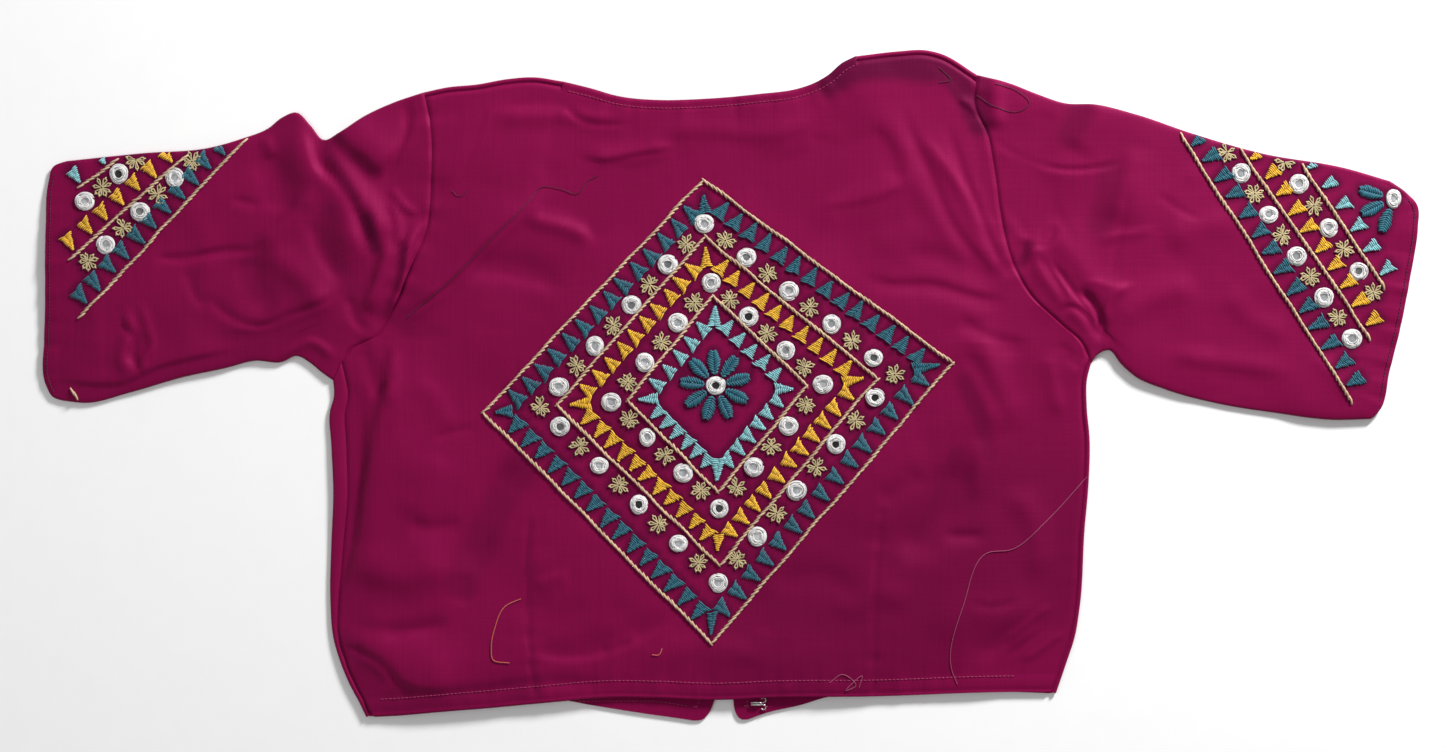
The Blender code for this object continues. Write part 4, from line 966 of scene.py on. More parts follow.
def metal_material(name):
    """Bright metal with smears and fine scratches. Each piece of glass has a painted reflection of its own
    by its shade: black below about 0.26, lamp-white above about 0.86, the metal's tone between.
    """
    dark, light, roughness, metallic = METALS[name]
    made, tree, shader = new_material(name)
    smear = noise_node(tree, 260.0, 3.0).outputs["Fac"]
    scratch = noise_node(tree, 700.0, 2.0, (6.0, 0.6, 1.0)).outputs["Fac"]
    colour = mixed(tree, ranged(tree, smear, 0.35, 0.68), dark, light)
    if name == "mirror":
        shade = tree.nodes.new("ShaderNodeAttribute")
        shade.attribute_name = "shade"
        # Painted reflections in the glass: dark at low shade, a lamp's white at high shade.
        dark_reflection_share = ranged(tree, shade.outputs["Fac"], 0.08, 0.26, 0.95, 0.0)
        colour = mixed(tree, dark_reflection_share, colour, COLOURS["painted_dark_reflection"])
        lamp_reflection_share = ranged(tree, shade.outputs["Fac"], 0.86, 0.92)
        colour = mixed(tree, lamp_reflection_share, colour, COLOURS["painted_lamp_reflection"])
    tree.links.new(colour, shader.inputs["Base Color"])
    tree.links.new(
        ranged(tree, smear, 0.3, 0.7, roughness * 0.6, roughness * 1.6), shader.inputs["Roughness"]
    )
    shader.inputs["Metallic"].default_value = metallic
    bumped(tree, shader, ((scratch, 0.00002),))
    return made


MATERIALS = {}


def material_of(kind):
    """The material of this kind, made once."""
    if kind not in MATERIALS:
        if kind == "cloth":
            MATERIALS[kind] = cloth_material()
        elif kind in METALS:
            MATERIALS[kind] = metal_material(kind)
        else:
            MATERIALS[kind] = thread_material(kind)
    return MATERIALS[kind]


# Shapes of the cloth.
TABLES = {
    # side, armhole, shoulder from the armhole to the neck, hem, opening, neck
    "left": (LEFT_SIDE, LEFT_ARMHOLE, LEFT_SHOULDER, LEFT_FRONT_HEM, LEFT_FRONT_EDGE, LEFT_FRONT_NECK),
    "right": (
        RIGHT_SIDE,
        RIGHT_ARMHOLE,
        RIGHT_SHOULDER[::-1],
        RIGHT_FRONT_HEM,
        RIGHT_FRONT_EDGE,
        RIGHT_FRONT_NECK,
    ),
}
SLEEVE_TABLES = {
    "left": (LEFT_SLEEVE_TOP, LEFT_SLEEVE_UNDER, LEFT_CUFF),
    "right": (RIGHT_SLEEVE_TOP, RIGHT_SLEEVE_UNDER, RIGHT_CUFF),
}
SIDE_FACES = round(200 / BACK_STEP)
HOLE_FACES = round(190 / BACK_STEP)
SHOULDER_FACES = round(84 / BACK_STEP)
NECK_FACES = round(192 / BACK_STEP)


def outline_x(side, y):
    """x of the body's outline at heights y, up the side and round the armhole."""
    line = joined(smooth(TABLES[side][0]), smooth(TABLES[side][1]))
    return np.interp(y, line[:, 1], line[:, 0])


def body_lift(points):
    """Height of the back's inner face before its folds."""
    x, y = points[..., 0], points[..., 1]
    left, right = outline_x("left", y), outline_x("right", y)
    share = np.clip((x - left) / (right - left), 0.0, 1.0)
    from_side = ease(np.minimum(share, 1 - share) / SIDE_RISE)
    hem = smooth(BACK_HEM)
    up = y - np.interp(x, hem[:, 0], hem[:, 1])
    rise = HEM_LIFT + (HOOK_LIFT - HEM_LIFT) * ease(up / HEM_RISE)
    start, end = NECK_FALL
    fall = ease((y - start) / (end - start))
    middle = rise * (1 - fall) + NECK_LIFT * fall
    return EDGE_LIFT + (middle - EDGE_LIFT) * from_side


def seam_inset(y, side):
    """How far inside the outline the side seam runs."""
    plain = np.full(len(y), FOLD_REACH + SEAM_STRIP)
    if side == "right":
        return plain
    heights, insets = zip(*LEFT_SEAM)
    return np.maximum(np.interp(y, heights, insets), plain)


def side_lines(side):
    """The outline up one side, its outward directions, and the seam on the upper side."""
    line = rows_along(smooth(TABLES[side][0]), SIDE_FACES, start=True)
    out = normals(line) * OUTWARD[side]
    hole = smooth(TABLES[side][1])
    out[-1] = (hole[0] - hole[1]) / np.linalg.norm(hole[0] - hole[1])
    seam = line - out * seam_inset(line[:, 1], side)[:, None]
    seam[-1] = at_lengths(hole, [SEAM_START[side]])[0]
    return line, out, seam


def shoulder_lines(side):
    """The outline along one shoulder, its outward directions, and the seam on the upper side."""
    line = even(smooth(TABLES[side][2]), SHOULDER_FACES)
    out = normals(line) * OUTWARD[side]
    hole = smooth(TABLES[side][1])
    out[0] = (hole[-1] - hole[-2]) / np.linalg.norm(hole[-1] - hole[-2])
    return line, out, line - out * (FOLD_REACH + SEAM_STRIP)


def edge_dip(distance, depth=SEAM_DIP, width=SEAM_DIP_WIDTH):
    """The rounding down of cloth towards a seam or a turned edge."""
    return -depth * np.exp(-((distance / width) ** 2))


def from_corner(line, corner):
    """A line whose first crowded rows run straight from a corner."""
    rows = len(CROWD)
    share = (np.array(CROWD) / (CROWD[-1] + SLEEVE_STEP))[:, None]
    return np.vstack([corner + (line[rows] - corner) * share, line[rows:]])


def back_panel():
    edges = []
    for side in ("left", "right"):
        _, _, seam = side_lines(side)
        hole = smooth(TABLES[side][1])
        total = lengths(hole)[-1]
        start, end = SEAM_START[side], total - FOLD_REACH - SEAM_STRIP
        part = at_lengths(hole, np.linspace(start, end, 400))
        edges.append(joined(seam, rows_along(part, HOLE_FACES, end=True)))
    left, right = edges
    seams = [shoulder_lines(side)[2] for side in ("left", "right")]
    neck = rows_along(smooth(BACK_NECK), NECK_FACES, start=True, end=True)
    for end, beside in ((0, 1), (-1, -2)):
        neck[beside] = neck[end] + (neck[beside] - neck[end]) * NECK_CORNER
    top = np.vstack([seams[0], neck[1:-1], seams[1][::-1]])
    top[0], top[-1] = left[-1], right[-1]
    hem_line = smooth(BACK_HEM)
    inset = FOLD_REACH + SEAM_STRIP + CORNER_CLEAR
    inner_hem = at_lengths(hem_line, np.linspace(inset, lengths(hem_line)[-1] - inset, 400))
    hem = rows_along(joined(left[:1], inner_hem, right[:1]), len(top) - 1, start=True, end=True)
    grid = patch(hem, top, left, right)
    flat = grid.reshape(-1, 2)
    shape = grid.shape[:2]

    hem_line, neck_line = even(hem_line, 60), even(smooth(BACK_NECK), 40)
    hem_stitch, neck_stitch = inside(hem_line, HEM_STITCH), inside(neck_line, -NECK_STITCH)
    to_hem = nearest(flat, hem_line)[0].reshape(shape)
    to_neck = nearest(flat, neck_line)[0].reshape(shape)
    on_hem = 1 - ease((to_hem - HEM_STITCH) / 1.6)
    height = body_lift(grid) + relief(grid, BODY_FOLDS, FOLD_SCALE) + undulation(grid)
    height += puckers(grid, hem_stitch, 4.0, 0.34, 9.0, 11)
    height += puckers(grid, inside(hem_line, HEM_STITCH / 2), 2.9, 0.30, 4.5, 19)
    height += puckers(grid, neck_stitch, 4.5, 0.34, 8.0, 12)
    for number, side in enumerate(("left", "right")):
        hole = even(smooth(TABLES[side][1]), 50)
        height += puckers(grid, hole, 7.0, 0.75, 8.0, 13 + number)
        height += puckers(grid, even(smooth(TABLES[side][0]), 40), 8.0, 0.5, 7.0, 15 + number)
    for number, dart in enumerate(DARTS):
        line = even(smooth(dart), 30)
        height += groove(grid, line, DART_DEPTH, DART_WIDTH)
        height += puckers(grid, line, 6.0, 0.35, 6.0, 17 + number)
    outer = kept_up(height) + CLOTH
    outer += HEM_STEP * on_hem + groove(grid, hem_stitch, 0.35, 1.0)
    outer += groove(grid, inside(hem_line, ROLL), 0.45, 0.9)
    outer += edge_dip(to_hem, 0.9, 0.8) + edge_dip(to_neck, 0.7, 0.8)
    outer += groove(grid, neck_stitch, 0.3, 1.0)
    outer += edge_dip(np.linalg.norm(grid - grid[:, :1], axis=-1))
    outer += edge_dip(np.linalg.norm(grid - grid[:, -1:], axis=-1))
    on_shoulder = np.ones(shape[1], bool)
    on_shoulder[SHOULDER_FACES + 1 : SHOULDER_FACES + NECK_FACES] = False
    outer += edge_dip(np.linalg.norm(grid - grid[-1:], axis=-1)) * on_shoulder
    cloth = Cloth()
    cloth.quads(cloth.points(with_height(grid, outer), SHELL + TURNED_HEM * on_hem))
    return cloth


def folded(cloth, line, outward, top, lower, upper):
    """Rows of points that carry a flat lower layer round a folded edge onto an upper one.

    lower and upper are the numbers of the points that the turn joins, and top is the upper height.
    """
    rows = [lower]
    low = cloth_heights(cloth, lower)
    for step in range(1, FOLD_FACES):
        turn = math.pi * step / FOLD_FACES
        place = line + outward * (FOLD_REACH * math.sin(turn))
        share = (1 - math.cos(turn)) / 2
        rows.append(cloth.points(with_height(place, low + (top - low) * share)))
    rows.append(upper)
    return np.array(rows)


def cloth_heights(cloth, numbers):
    return np.vstack(cloth.outer)[numbers, 2]


def ground_lift(points, clear=None):
    """How far a layer on the ground stands off it. clear is a distance within which it lies flat."""
    lift = np.maximum(relief(points, UNDER_FOLDS) + 0.10 * (1 + noise(points, 24.0, 5)), 0.0)
    return lift if clear is None else lift * ease(clear / 14.0)


def front_panel(side):
    left = side == "left"
    _, hole_table, _, hem_table, edge_table, neck_table = TABLES[side]
    outline, side_out, side_seam = side_lines(side)
    shoulder, shoulder_out, shoulder_seam = shoulder_lines(side)
    side_line = outline - side_out * FOLD_REACH
    shoulder_line = shoulder - shoulder_out * FOLD_REACH
    hole = smooth(hole_table)
    total = lengths(hole)[-1]
    hole_line = at_lengths(hole, np.linspace(FOLD_REACH, total - FOLD_REACH, HOLE_FACES + 1))
    side_line[-1], shoulder_line[0] = hole_line[0], hole_line[-1]
    opening = rows_along(smooth(edge_table), SIDE_FACES, start=True)
    inner_side = joined(opening, even(smooth(neck_table), HOLE_FACES))
    hem_line = smooth(hem_table)
    hem_line = at_lengths(hem_line, np.linspace(2 * FOLD_REACH, lengths(hem_line)[-1], 300))
    hem = rows_along(joined(side_line[:1], hem_line), SHOULDER_FACES, start=True, end=True)
    hem[0], hem[-1] = side_line[0], inner_side[0]
    inner_side[-1] = shoulder_line[-1]
    outer_side = joined(side_line, hole_line)
    if left:
        grid = patch(hem, shoulder_line, outer_side, inner_side)
    else:
        grid = patch(hem[::-1], shoulder_line[::-1], inner_side, outer_side)
    edge = np.minimum(
        np.linalg.norm(grid - grid[:, :1], axis=-1), np.linalg.norm(grid - grid[:, -1:], axis=-1)
    )
    edge = np.minimum(edge, np.linalg.norm(grid - grid[:1], axis=-1))
    flat = grid.reshape(-1, 2)
    to_opening = nearest(flat, even(smooth(edge_table), 50))[0].reshape(edge.shape)
    to_hem = nearest(flat, even(smooth(hem_table), 40))[0].reshape(edge.shape)
    band = 1 - ease((np.minimum(to_opening, to_hem) - OPENING_STITCH) / 1.4)
    cloth = Cloth()
    numbers = cloth.points(with_height(grid, ground_lift(grid, edge)), SHELL + TURNED_EDGE * band)
    cloth.quads(numbers, turned=True)

    side_numbers = numbers[: SIDE_FACES + 1, 0 if left else -1]
    shoulder_numbers = numbers[-1] if left else numbers[-1, ::-1]
    for line, out, seam, low in (
        (side_line, side_out, side_seam, side_numbers),
        (shoulder_line, shoulder_out, shoulder_seam, shoulder_numbers),
    ):
        tops = []
        for share in (0.0, 0.34, 0.67, 0.85, 1.0):
            row = line + (seam - line) * share
            height = EDGE_LIFT + relief(row, BODY_FOLDS, FOLD_SCALE / 2) + undulation(row) * 0.6
            height = kept_up(height) + CLOTH
            height += edge_dip(np.linalg.norm(row - seam, axis=-1))
            tops.append((cloth.points(with_height(row, height)), height))
        turned_row = folded(cloth, line, out, tops[0][1], low, tops[0][0])
        cloth.quads(np.vstack([turned_row] + [numbers[None] for numbers, _ in tops[1:]]), turned=left)
    return cloth


def sleeve(side):
    """A flattened tube from the armhole to the cuff, with its lower layer on the ground."""
    left = side == "left"
    top_table, under_table, cuff_table = SLEEVE_TABLES[side]
    folds = LEFT_SLEEVE_FOLDS if left else RIGHT_SLEEVE_FOLDS
    hole = smooth(TABLES[side][1])
    cuff = smooth(cuff_table[::-1])
    stations = round(185 / SLEEVE_STEP)
    across = round(175 / SLEEVE_STEP)
    edges = []
    for table, turn in ((top_table, -OUTWARD[side]), (under_table, OUTWARD[side])):
        line = rows_along(smooth(table), stations, start=True, end=True)
        edges.append((line, normals(line) * turn))
    (top, top_out), (under, under_out) = edges
    for row, line in ((0, hole), (-1, cuff)):
        top_out[row] = (line[-1] - line[-2]) / np.linalg.norm(line[-1] - line[-2])
        under_out[row] = (line[0] - line[1]) / np.linalg.norm(line[0] - line[1])
    low, high = under - under_out * FOLD_REACH, top - top_out * FOLD_REACH
    ends = []
    for line in (hole, cuff):
        total = lengths(line)[-1]
        ends.append(at_lengths(line, np.linspace(FOLD_REACH, total - FOLD_REACH, across + 1)))
    low, high = from_corner(low, ends[0][0]), from_corner(high, ends[0][-1])
    low, high = from_corner(low[::-1], ends[1][0])[::-1], from_corner(high[::-1], ends[1][-1])[::-1]
    for line, out, table, end in (
        (high, top_out, top_table, cuff[::-1]),
        (low, under_out, under_table, cuff),
    ):
        room = nearest(line, joined(smooth(table), end))[0]
        out *= np.minimum(1.0, room / FOLD_REACH)[:, None]
    if left:
        grid = patch(low[::-1], high[::-1], ends[1], ends[0])
    else:
        grid = patch(low, high, ends[0], ends[1])
    flat = grid.reshape(-1, 2)
    shape = grid.shape[:2]
    v = np.linspace(0, 1, shape[0])[:, None] * np.ones(shape)
    at_hole = np.linspace(1, 0, shape[1])[None, :] if left else np.linspace(0, 1, shape[1])[None, :]
    swell = np.sqrt(np.sin(math.pi * np.clip(v, 0, 1))) * ease(at_hole / SLEEVE_RISE)
    cuff_line = even(cuff, 40)
    cuff_stitch = inside(cuff_line, CUFF_STITCH * (-1 if left else 1))
    to_cuff = nearest(flat, cuff_line)[0].reshape(shape)
    to_hole = nearest(flat, even(hole, 60))[0].reshape(shape)
    height = EDGE_LIFT + (SLEEVE_LIFT - EDGE_LIFT) * swell + undulation(grid)
    height += relief(grid, folds, SLEEVE_FOLD_SCALE[side])
    height += relief(grid, BODY_FOLDS, FOLD_SCALE) * np.exp(-to_hole / 14.0)
    height += puckers(grid, cuff_stitch, 4.5, 0.5, 11.0, 21 + left)
    height += puckers(grid, even(hole, 50), 7.0, 0.75, 8.0, 14 - left)
    outer = kept_up(height) + CLOTH
    outer += groove(grid, cuff_stitch, 0.3, 1.0) + edge_dip(to_cuff, 0.7, 0.8) + edge_dip(to_hole)
    cloth = Cloth()
    upper = cloth.points(with_height(grid, outer))
    cloth.quads(upper)
    lower = cloth.points(with_height(grid, ground_lift(grid, to_cuff)))
    cloth.quads(lower, turned=True)
    for row, outward in ((0, under_out), (-1, top_out)):
        out = outward[::-1] if left else outward
        turned_row = folded(cloth, grid[row], out, outer[row], lower[row], upper[row])
        cloth.quads(turned_row, turned=row == -1)
    return cloth


def cloth_piece(node, cloth):
    """The wall of a piece of cloth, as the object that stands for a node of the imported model."""
    points, faces = cloth.wall()
    piece = object_of(f"{node}_cloth", points, faces, material_of("cloth"))
    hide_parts(node)
    return piece


# Sewing and embroidery.
STITCH_SHARES = np.array([0.0, 0.11, 0.36, 0.64, 0.89, 1.0])
STITCH_RISE = np.array([-0.8, 0.65, 1.15, 1.15, 0.65, -0.8])
STITCH_SIZE = np.array([0.55, 0.88, 1.0, 1.0, 0.88, 0.55])


def stitch(threads, ground, starts, ends, radius, bow=0.0, sides=5):
    """Short stitches, each from one place to another, that dive into the cloth at both ends."""
    starts, ends = np.atleast_2d(starts), np.atleast_2d(ends)
    step = ends - starts
    sideways = np.stack([-step[:, 1], step[:, 0]], axis=1)
    bend = np.sin(math.pi * STITCH_SHARES)[None, :, None] * bow
    flat = starts[:, None] + step[:, None] * STITCH_SHARES[None, :, None] + sideways[:, None] * bend
    heights = ground.heights(flat) + STITCH_RISE[None] * radius
    heights += threads.random.uniform(0.0, 0.25, len(starts))[:, None]
    threads.add(np.concatenate([flat, heights[..., None]], axis=-1), radius * STITCH_SIZE[None], sides)


def turned(vectors, degrees):
    angle = np.radians(degrees)
    x, y = vectors[..., 0], vectors[..., 1]
    turned_x = x * np.cos(angle) - y * np.sin(angle)
    turned_y = x * np.sin(angle) + y * np.cos(angle)
    return np.stack([turned_x, turned_y], axis=-1)


def border(threads, ground, start, end):
    """A line of rope stitch: long slanting stitches, each overlapping the last."""
    start, end = np.array(start, float), np.array(end, float)
    total = np.linalg.norm(end - start)
    along = (end - start) / total
    count = max(2, round(total / 3.5))
    shares = (np.arange(count) + 0.5) / count
    random = threads.random
    middles = start + along * (shares * total)[:, None]
    middles += turned(along, 90) * (0.55 * waves(shares * total, 16.0, int(total * 7) % 97))[:, None]
    slants = turned(np.tile(along, (count, 1)), -12 + random.normal(0, 3.0, count))
    halves = slants * random.uniform(2.8, 3.4, count)[:, None]
    stitch(threads, ground, middles - halves, middles + halves, 0.66, 0.05)


def triangle(threads, ground, base, outward, height, half):
    """A triangle of close strands, each from its middle to one long edge, its apex away from the base."""
    random = threads.random
    outward = turned(np.array(outward), random.normal(0, 4.0))
    across = turned(outward, 90)
    height = height * random.uniform(0.93, 1.06)
    half = half * random.uniform(0.92, 1.08)
    rows = round(height / STRAND_PITCH)
    up = (np.arange(rows) + 0.3) / rows * height
    middle = random.normal(0, 0.4, rows)
    starts, ends = [], []
    for hand, slant in ((-1, random.uniform(-0.05, 0.12)), (1, random.uniform(0.16, 0.34))):
        width = half * (1 - up / height) * random.uniform(0.84, 1.16, rows) + 0.45
        rise = up + 0.5 * (hand < 0) * height / rows
        lean = slant * width * 0.5
        starts.append(base + outward * (rise + lean)[:, None] + across * (middle - hand * 0.4)[:, None])
        ends.append(base + outward * (rise - lean)[:, None] + across * (hand * width)[:, None])
    stitch(threads, ground, np.vstack(starts), np.vstack(ends), STRAND_RADIUS, random.normal(0, 0.04), 5)


def flower(threads, ground, centre):
    """Lazy daisy: loops of thread round a centre, each held by a small stitch at its tip."""
    random = threads.random
    centre = np.array(centre, float)
    first = random.uniform(0, 360)
    t = np.linspace(0.0, 1.0, 14)
    for k in range(FLOWER_LOOPS):
        reach = FLOWER_RADIUS * random.uniform(0.76, 1.04)
        angle = first + 360.0 * k / FLOWER_LOOPS + random.normal(0, 7.0)
        out = 0.5 + (reach - 0.8) * np.sin(math.pi * t)
        wide = random.uniform(1.1, 1.6) * np.sin(2 * math.pi * t) * (out / reach) ** 1.3
        flat = centre + turned(np.stack([out, wide], axis=-1), angle)
        heights = ground.heights(flat) + FLOWER_LIFT
        threads.add(np.concatenate([flat, heights[:, None]], axis=-1)[None], FLOWER_THREAD, 5)
        tip = turned(np.array([1.0, 0.0]), angle)
        stitch(threads, ground, centre + tip * (reach - 0.9), centre + tip * (reach + 0.6), 0.50, 0.0, 5)


def mirror(threads, discs, ground, centre, shade=None):
    """A small round mirror held by a thick ring of wound thread. Its glass has a painted black reflection at
    shade 0.
    """
    random = threads.random
    centre = np.array(centre, float)
    base = float(ground.heights(centre[None])[0])
    if math.isnan(base):
        return
    tilt = random.normal(0, 0.05, 2)
    squash = 1 - abs(random.normal(0, 0.07, 2))
    for radius, height in MIRROR_RINGS:
        edges = random.uniform(0, 360) + np.linspace(0, 360, random.integers(4, 7))
        shift = random.normal(0, 0.10, 2)
        for start, end in zip(edges[:-1], edges[1:]):
            angles = np.radians(np.linspace(start - 4, end + 4, len(ARC_RISE)))
            size = (radius + random.normal(0, 0.12) + 0.10 * np.sin(3 * angles))[:, None]
            away = size * np.stack([np.cos(angles), np.sin(angles)], axis=-1) * squash
            z = base + (height + ARC_RISE + 0.5 * away @ tilt + random.uniform(-0.08, 0.12))
            path = np.concatenate([centre + shift + away, z[:, None]], axis=-1)
            threads.add(path[None], 0.40 * ARC_SIZE, 5)
    turns = np.linspace(0, 2 * math.pi, 20, endpoint=False)
    rings = [centre[None]]
    lifts = [GLASS_LIFT]
    for radius in (1.3, 2.4, MIRROR_RADIUS + 0.3):
        rings.append(centre + radius * np.stack([np.cos(turns), np.sin(turns)], axis=-1))
        lifts.append(GLASS_LIFT - GLASS_FALL * radius)
    discs.append((rings, lifts, base, tilt, random.uniform() if shade is None else shade))


def mirror_discs(name, discs):
    """All the mirrors' glass as one piece."""
    points, faces, fans, shades, count = [], [], [], [], 0
    for rings, lifts, base, tilt, shade in discs:
        centre = rings[0][0]
        for ring, lift in zip(rings, lifts):
            z = base + (lift + (ring - centre) @ tilt)
            points.append(np.concatenate([ring, z[:, None]], axis=-1))
        sides = len(rings[1])
        numbers = count + 1 + np.arange(3 * sides).reshape(3, sides)
        after = np.roll(numbers, -1, axis=1)
        for k in range(2):
            faces.append(np.stack([numbers[k], numbers[k + 1], after[k + 1], after[k]], axis=-1))
        fans.append(np.stack([np.full(sides, count), numbers[0], after[0]], axis=-1))
        count += 1 + 3 * sides
        shades.append(np.full(1 + 3 * sides, shade))
    piece = object_of(name, np.vstack(points), [np.vstack(faces), np.vstack(fans)], material_of("mirror"))
    number_points(piece, "shade", np.concatenate(shades))
    return piece


def petal(threads, ground, centre, angle):
    """Fishbone stitch: pairs of strands that meet in points facing the flower's centre."""
    way = turned(np.array([1.0, 0.0]), angle)
    across = turned(way, 90)
    places = np.arange(0.0, PETAL_LENGTH - 2.2, 1.45)
    for hand in (-1, 1):
        share = (places + 1.4) / PETAL_LENGTH
        width = PETAL_HALF * np.sin(math.pi * np.clip(share, 0, 1) ** 0.8) ** 0.8
        width = width * threads.random.uniform(0.86, 1.1, len(places)) + 0.5
        starts = centre + way * (PETAL_START + places)[:, None] - across * hand * 0.3
        ends = centre + way * (PETAL_START + places + 0.75 * width)[:, None] + across * hand * width[:, None]
        stitch(threads, ground, starts, ends, 0.68, 0.0, 5)


def places_between(start, end, count):
    """Middles of count equal parts of a line."""
    start, end = np.array(start), np.array(end)
    return [start + (end - start) * (k + 0.5) / count for k in range(count)]


def diamond_triangles(threads, ground, border_name, colour, upper, lower):
    height, half = TRIANGLE_SIZES[colour]
    corners = [np.array(c) for c in DIAMONDS[border_name]]
    middle = np.mean(corners, axis=0)
    for number, (start, end) in enumerate(zip(corners, corners[1:] + corners[:1])):
        count = upper if number in (0, 3) else lower
        along = (end - start) / np.linalg.norm(end - start)
        outward = turned(along, 90)
        if outward @ (start - middle) < 0:
            outward = -outward
        first, last = start + along * CORNER_ROOM, end - along * CORNER_ROOM
        for place in places_between(first, last, count):
            base = place - outward * (TRIANGLE_INSET + height)
            triangle(threads, ground, base, outward, height, half)
        point = (start - middle) / np.linalg.norm(start - middle)
        gap, tall, wide = CORNER_TRIANGLES[border_name][number]
        triangle(threads, ground, start - point * (gap + tall), point, tall, wide)


def ring_points(first, second, share, places):
    """Evenly spaced places on each side of the ring that lies between two diamonds."""
    corners = [
        np.array(a) * (1 - share) + np.array(b) * share
        for a, b in zip(DIAMONDS[first], DIAMONDS[second])
    ]
    made = []
    for start, end in zip(corners, corners[1:] + corners[:1]):
        made += [start + (end - start) * k / places for k in range(places)]
    return made


def embroider(name, ground):
    """All embroidery, gathered into one piece of each colour."""
    colours = ("teal", "yellow", "aqua", "border", "flower", "white")
    threads = {colour: Threads(40 + k) for k, colour in enumerate(colours)}
    discs = []
    for border_name, colour, upper, lower in TRIANGLES:
        corners = DIAMONDS[border_name]
        for start, end in zip(corners, corners[1:] + corners[:1]):
            border(threads["border"], ground, start, end)
        diamond_triangles(threads[colour], ground, border_name, colour, upper, lower)
    for first, second, places in RING_PLACES:
        for k, place in enumerate(ring_points(first, second, MOTIF_TRACK, places)):
            if k % 2:
                flower(threads["flower"], ground, place)
            else:
                mirror(threads["white"], discs, ground, place)
    centre = np.array(DIAMOND_CENTRE)
    # The centre mirror gets the painted black reflection.
    mirror(threads["white"], discs, ground, centre, shade=0.0)
    for k in range(PETALS):
        petal(threads["teal"], ground, centre, 94 + 360 * k / PETALS)
    for side in ("left", "right"):
        sleeve_motif(threads, discs, ground, side)
    border(threads["border"], ground, *STRAY_BORDER)
    for colour in colours:
        piece = threads[colour].mesh(f"{name}_{colour}", colour)
    mirror_discs(f"{name}_mirrors", discs)
    close = [threads[colour].places for colour in colours if colour != "border"]
    return np.vstack([place for places in close for place in places])


def paint_shade(pieces, cloths, places):
    """Paints shade on the cloth: darker near close stitches on the upper layers, for the shade that threads
    and puckers cast there, and along the routes of SHADED.
    """
    tree = KDTree(len(places))
    for number, place in enumerate(places):
        tree.insert((*place[:2], 0.0), number)
    tree.balance()
    for piece, cloth in zip(pieces, cloths):
        outer = cloth.surface()[0]
        upper = outer[:, 2] > 1.5
        away = np.full(len(outer), 1e3)
        away[upper] = [tree.find((x, y, 0.0))[2] for x, y in outer[upper, :2].tolist()]
        painted_shade = 1 - ease((away - PAINTED_SHADE_NEAR) / (PAINTED_SHADE_FAR - PAINTED_SHADE_NEAR))
        for route, half, dark in SHADED:
            from_route = nearest(outer[:, :2], even(smooth(route), 12))[0]
            painted_shade = np.maximum(painted_shade, dark * (1 - ease((from_route / half - 0.5) / 0.9)))
        number_points(piece, "painted_shade", np.concatenate([painted_shade, np.zeros(len(outer))]))


def sleeve_motif(threads, discs, ground, side):
    """Half a diamond, whose other half goes round the fold to the under side."""
    borders = [np.array(line) for line in SLEEVE_BORDERS[side]]
    cuffward = -1.0 if side == "left" else 1.0
    for (start, end), (colour, count, first, last) in zip(borders, SLEEVE_TRIANGLES[side]):
        border(threads["border"], ground, start, end)
        along = (end - start) / np.linalg.norm(end - start)
        outward = turned(along, -90 * cuffward)
        height, half = TRIANGLE_SIZES[colour]
        for share in np.linspace(first, last, count):
            base = start + (end - start) * share - outward * (TRIANGLE_INSET + height)
            triangle(threads[colour], ground, base, outward, height, half)
    for first, second, (count, begin, finish) in zip(borders[:-1], borders[1:], SLEEVE_TRACKS[side]):
        track = first * (1 - SLEEVE_TRACK) + second * SLEEVE_TRACK
        for k, share in enumerate(np.linspace(begin, finish, count)):
            place = track[0] + (track[1] - track[0]) * share
            if k % 2:
                mirror(threads["white"], discs, ground, place)
            else:
                flower(threads["flower"], ground, place)
    if side == "right":
        centre = np.array(RIGHT_SLEEVE_CENTRE)
        mirror(threads["white"], discs, ground, centre)
        for angle in (165, 205, 250):
            petal(threads["teal"], ground, centre, angle)


def machine_line(threads, ground, line, pitch=2.5, radius=0.24):
    """A row of machine stitches along a line, with a gap after each."""
    total = lengths(line)[-1]
    starts = np.arange(0.6, total - pitch, pitch)
    first, last = at_lengths(line, starts), at_lengths(line, starts + pitch * 0.72)
    stitch(threads, ground, first, last, radius, 0.0, 4)


def machine_stitches(ground, under):
    """Stitches of the back's hem and neck, of the cuffs, and of the fronts where they show."""
    threads = Threads(60)
    machine_line(threads, ground, inside(smooth(BACK_HEM), HEM_STITCH)[6:-6])
    machine_line(threads, ground, inside(smooth(BACK_NECK), -NECK_STITCH)[3:-3])
    threads.mesh("machine_stitches", "seam_thread")
    cuff_threads = Threads(62)
    for side, hand in (("left", -1), ("right", 1)):
        cuff = inside(smooth(SLEEVE_TABLES[side][2][::-1]), CUFF_STITCH * hand)
        machine_line(cuff_threads, ground, cuff[14:-14], 2.1)
    cuff_threads.mesh("cuff_stitches", "dark")
    under_threads = Threads(61)
    for side, hand in (("left", 1), ("right", -1)):
        hem = inside(smooth(TABLES[side][3]), OPENING_STITCH * hand)
        opening = inside(smooth(TABLES[side][4]), OPENING_STITCH * hand)
        machine_line(under_threads, under, opening[opening[:, 1] < OPENING_SHOWN])
        machine_line(under_threads, under, hem[hem[:, 1] < FRONT_HEM_SHOWN][:-4])
    under_threads.mesh("front_stitches", "seam_thread")


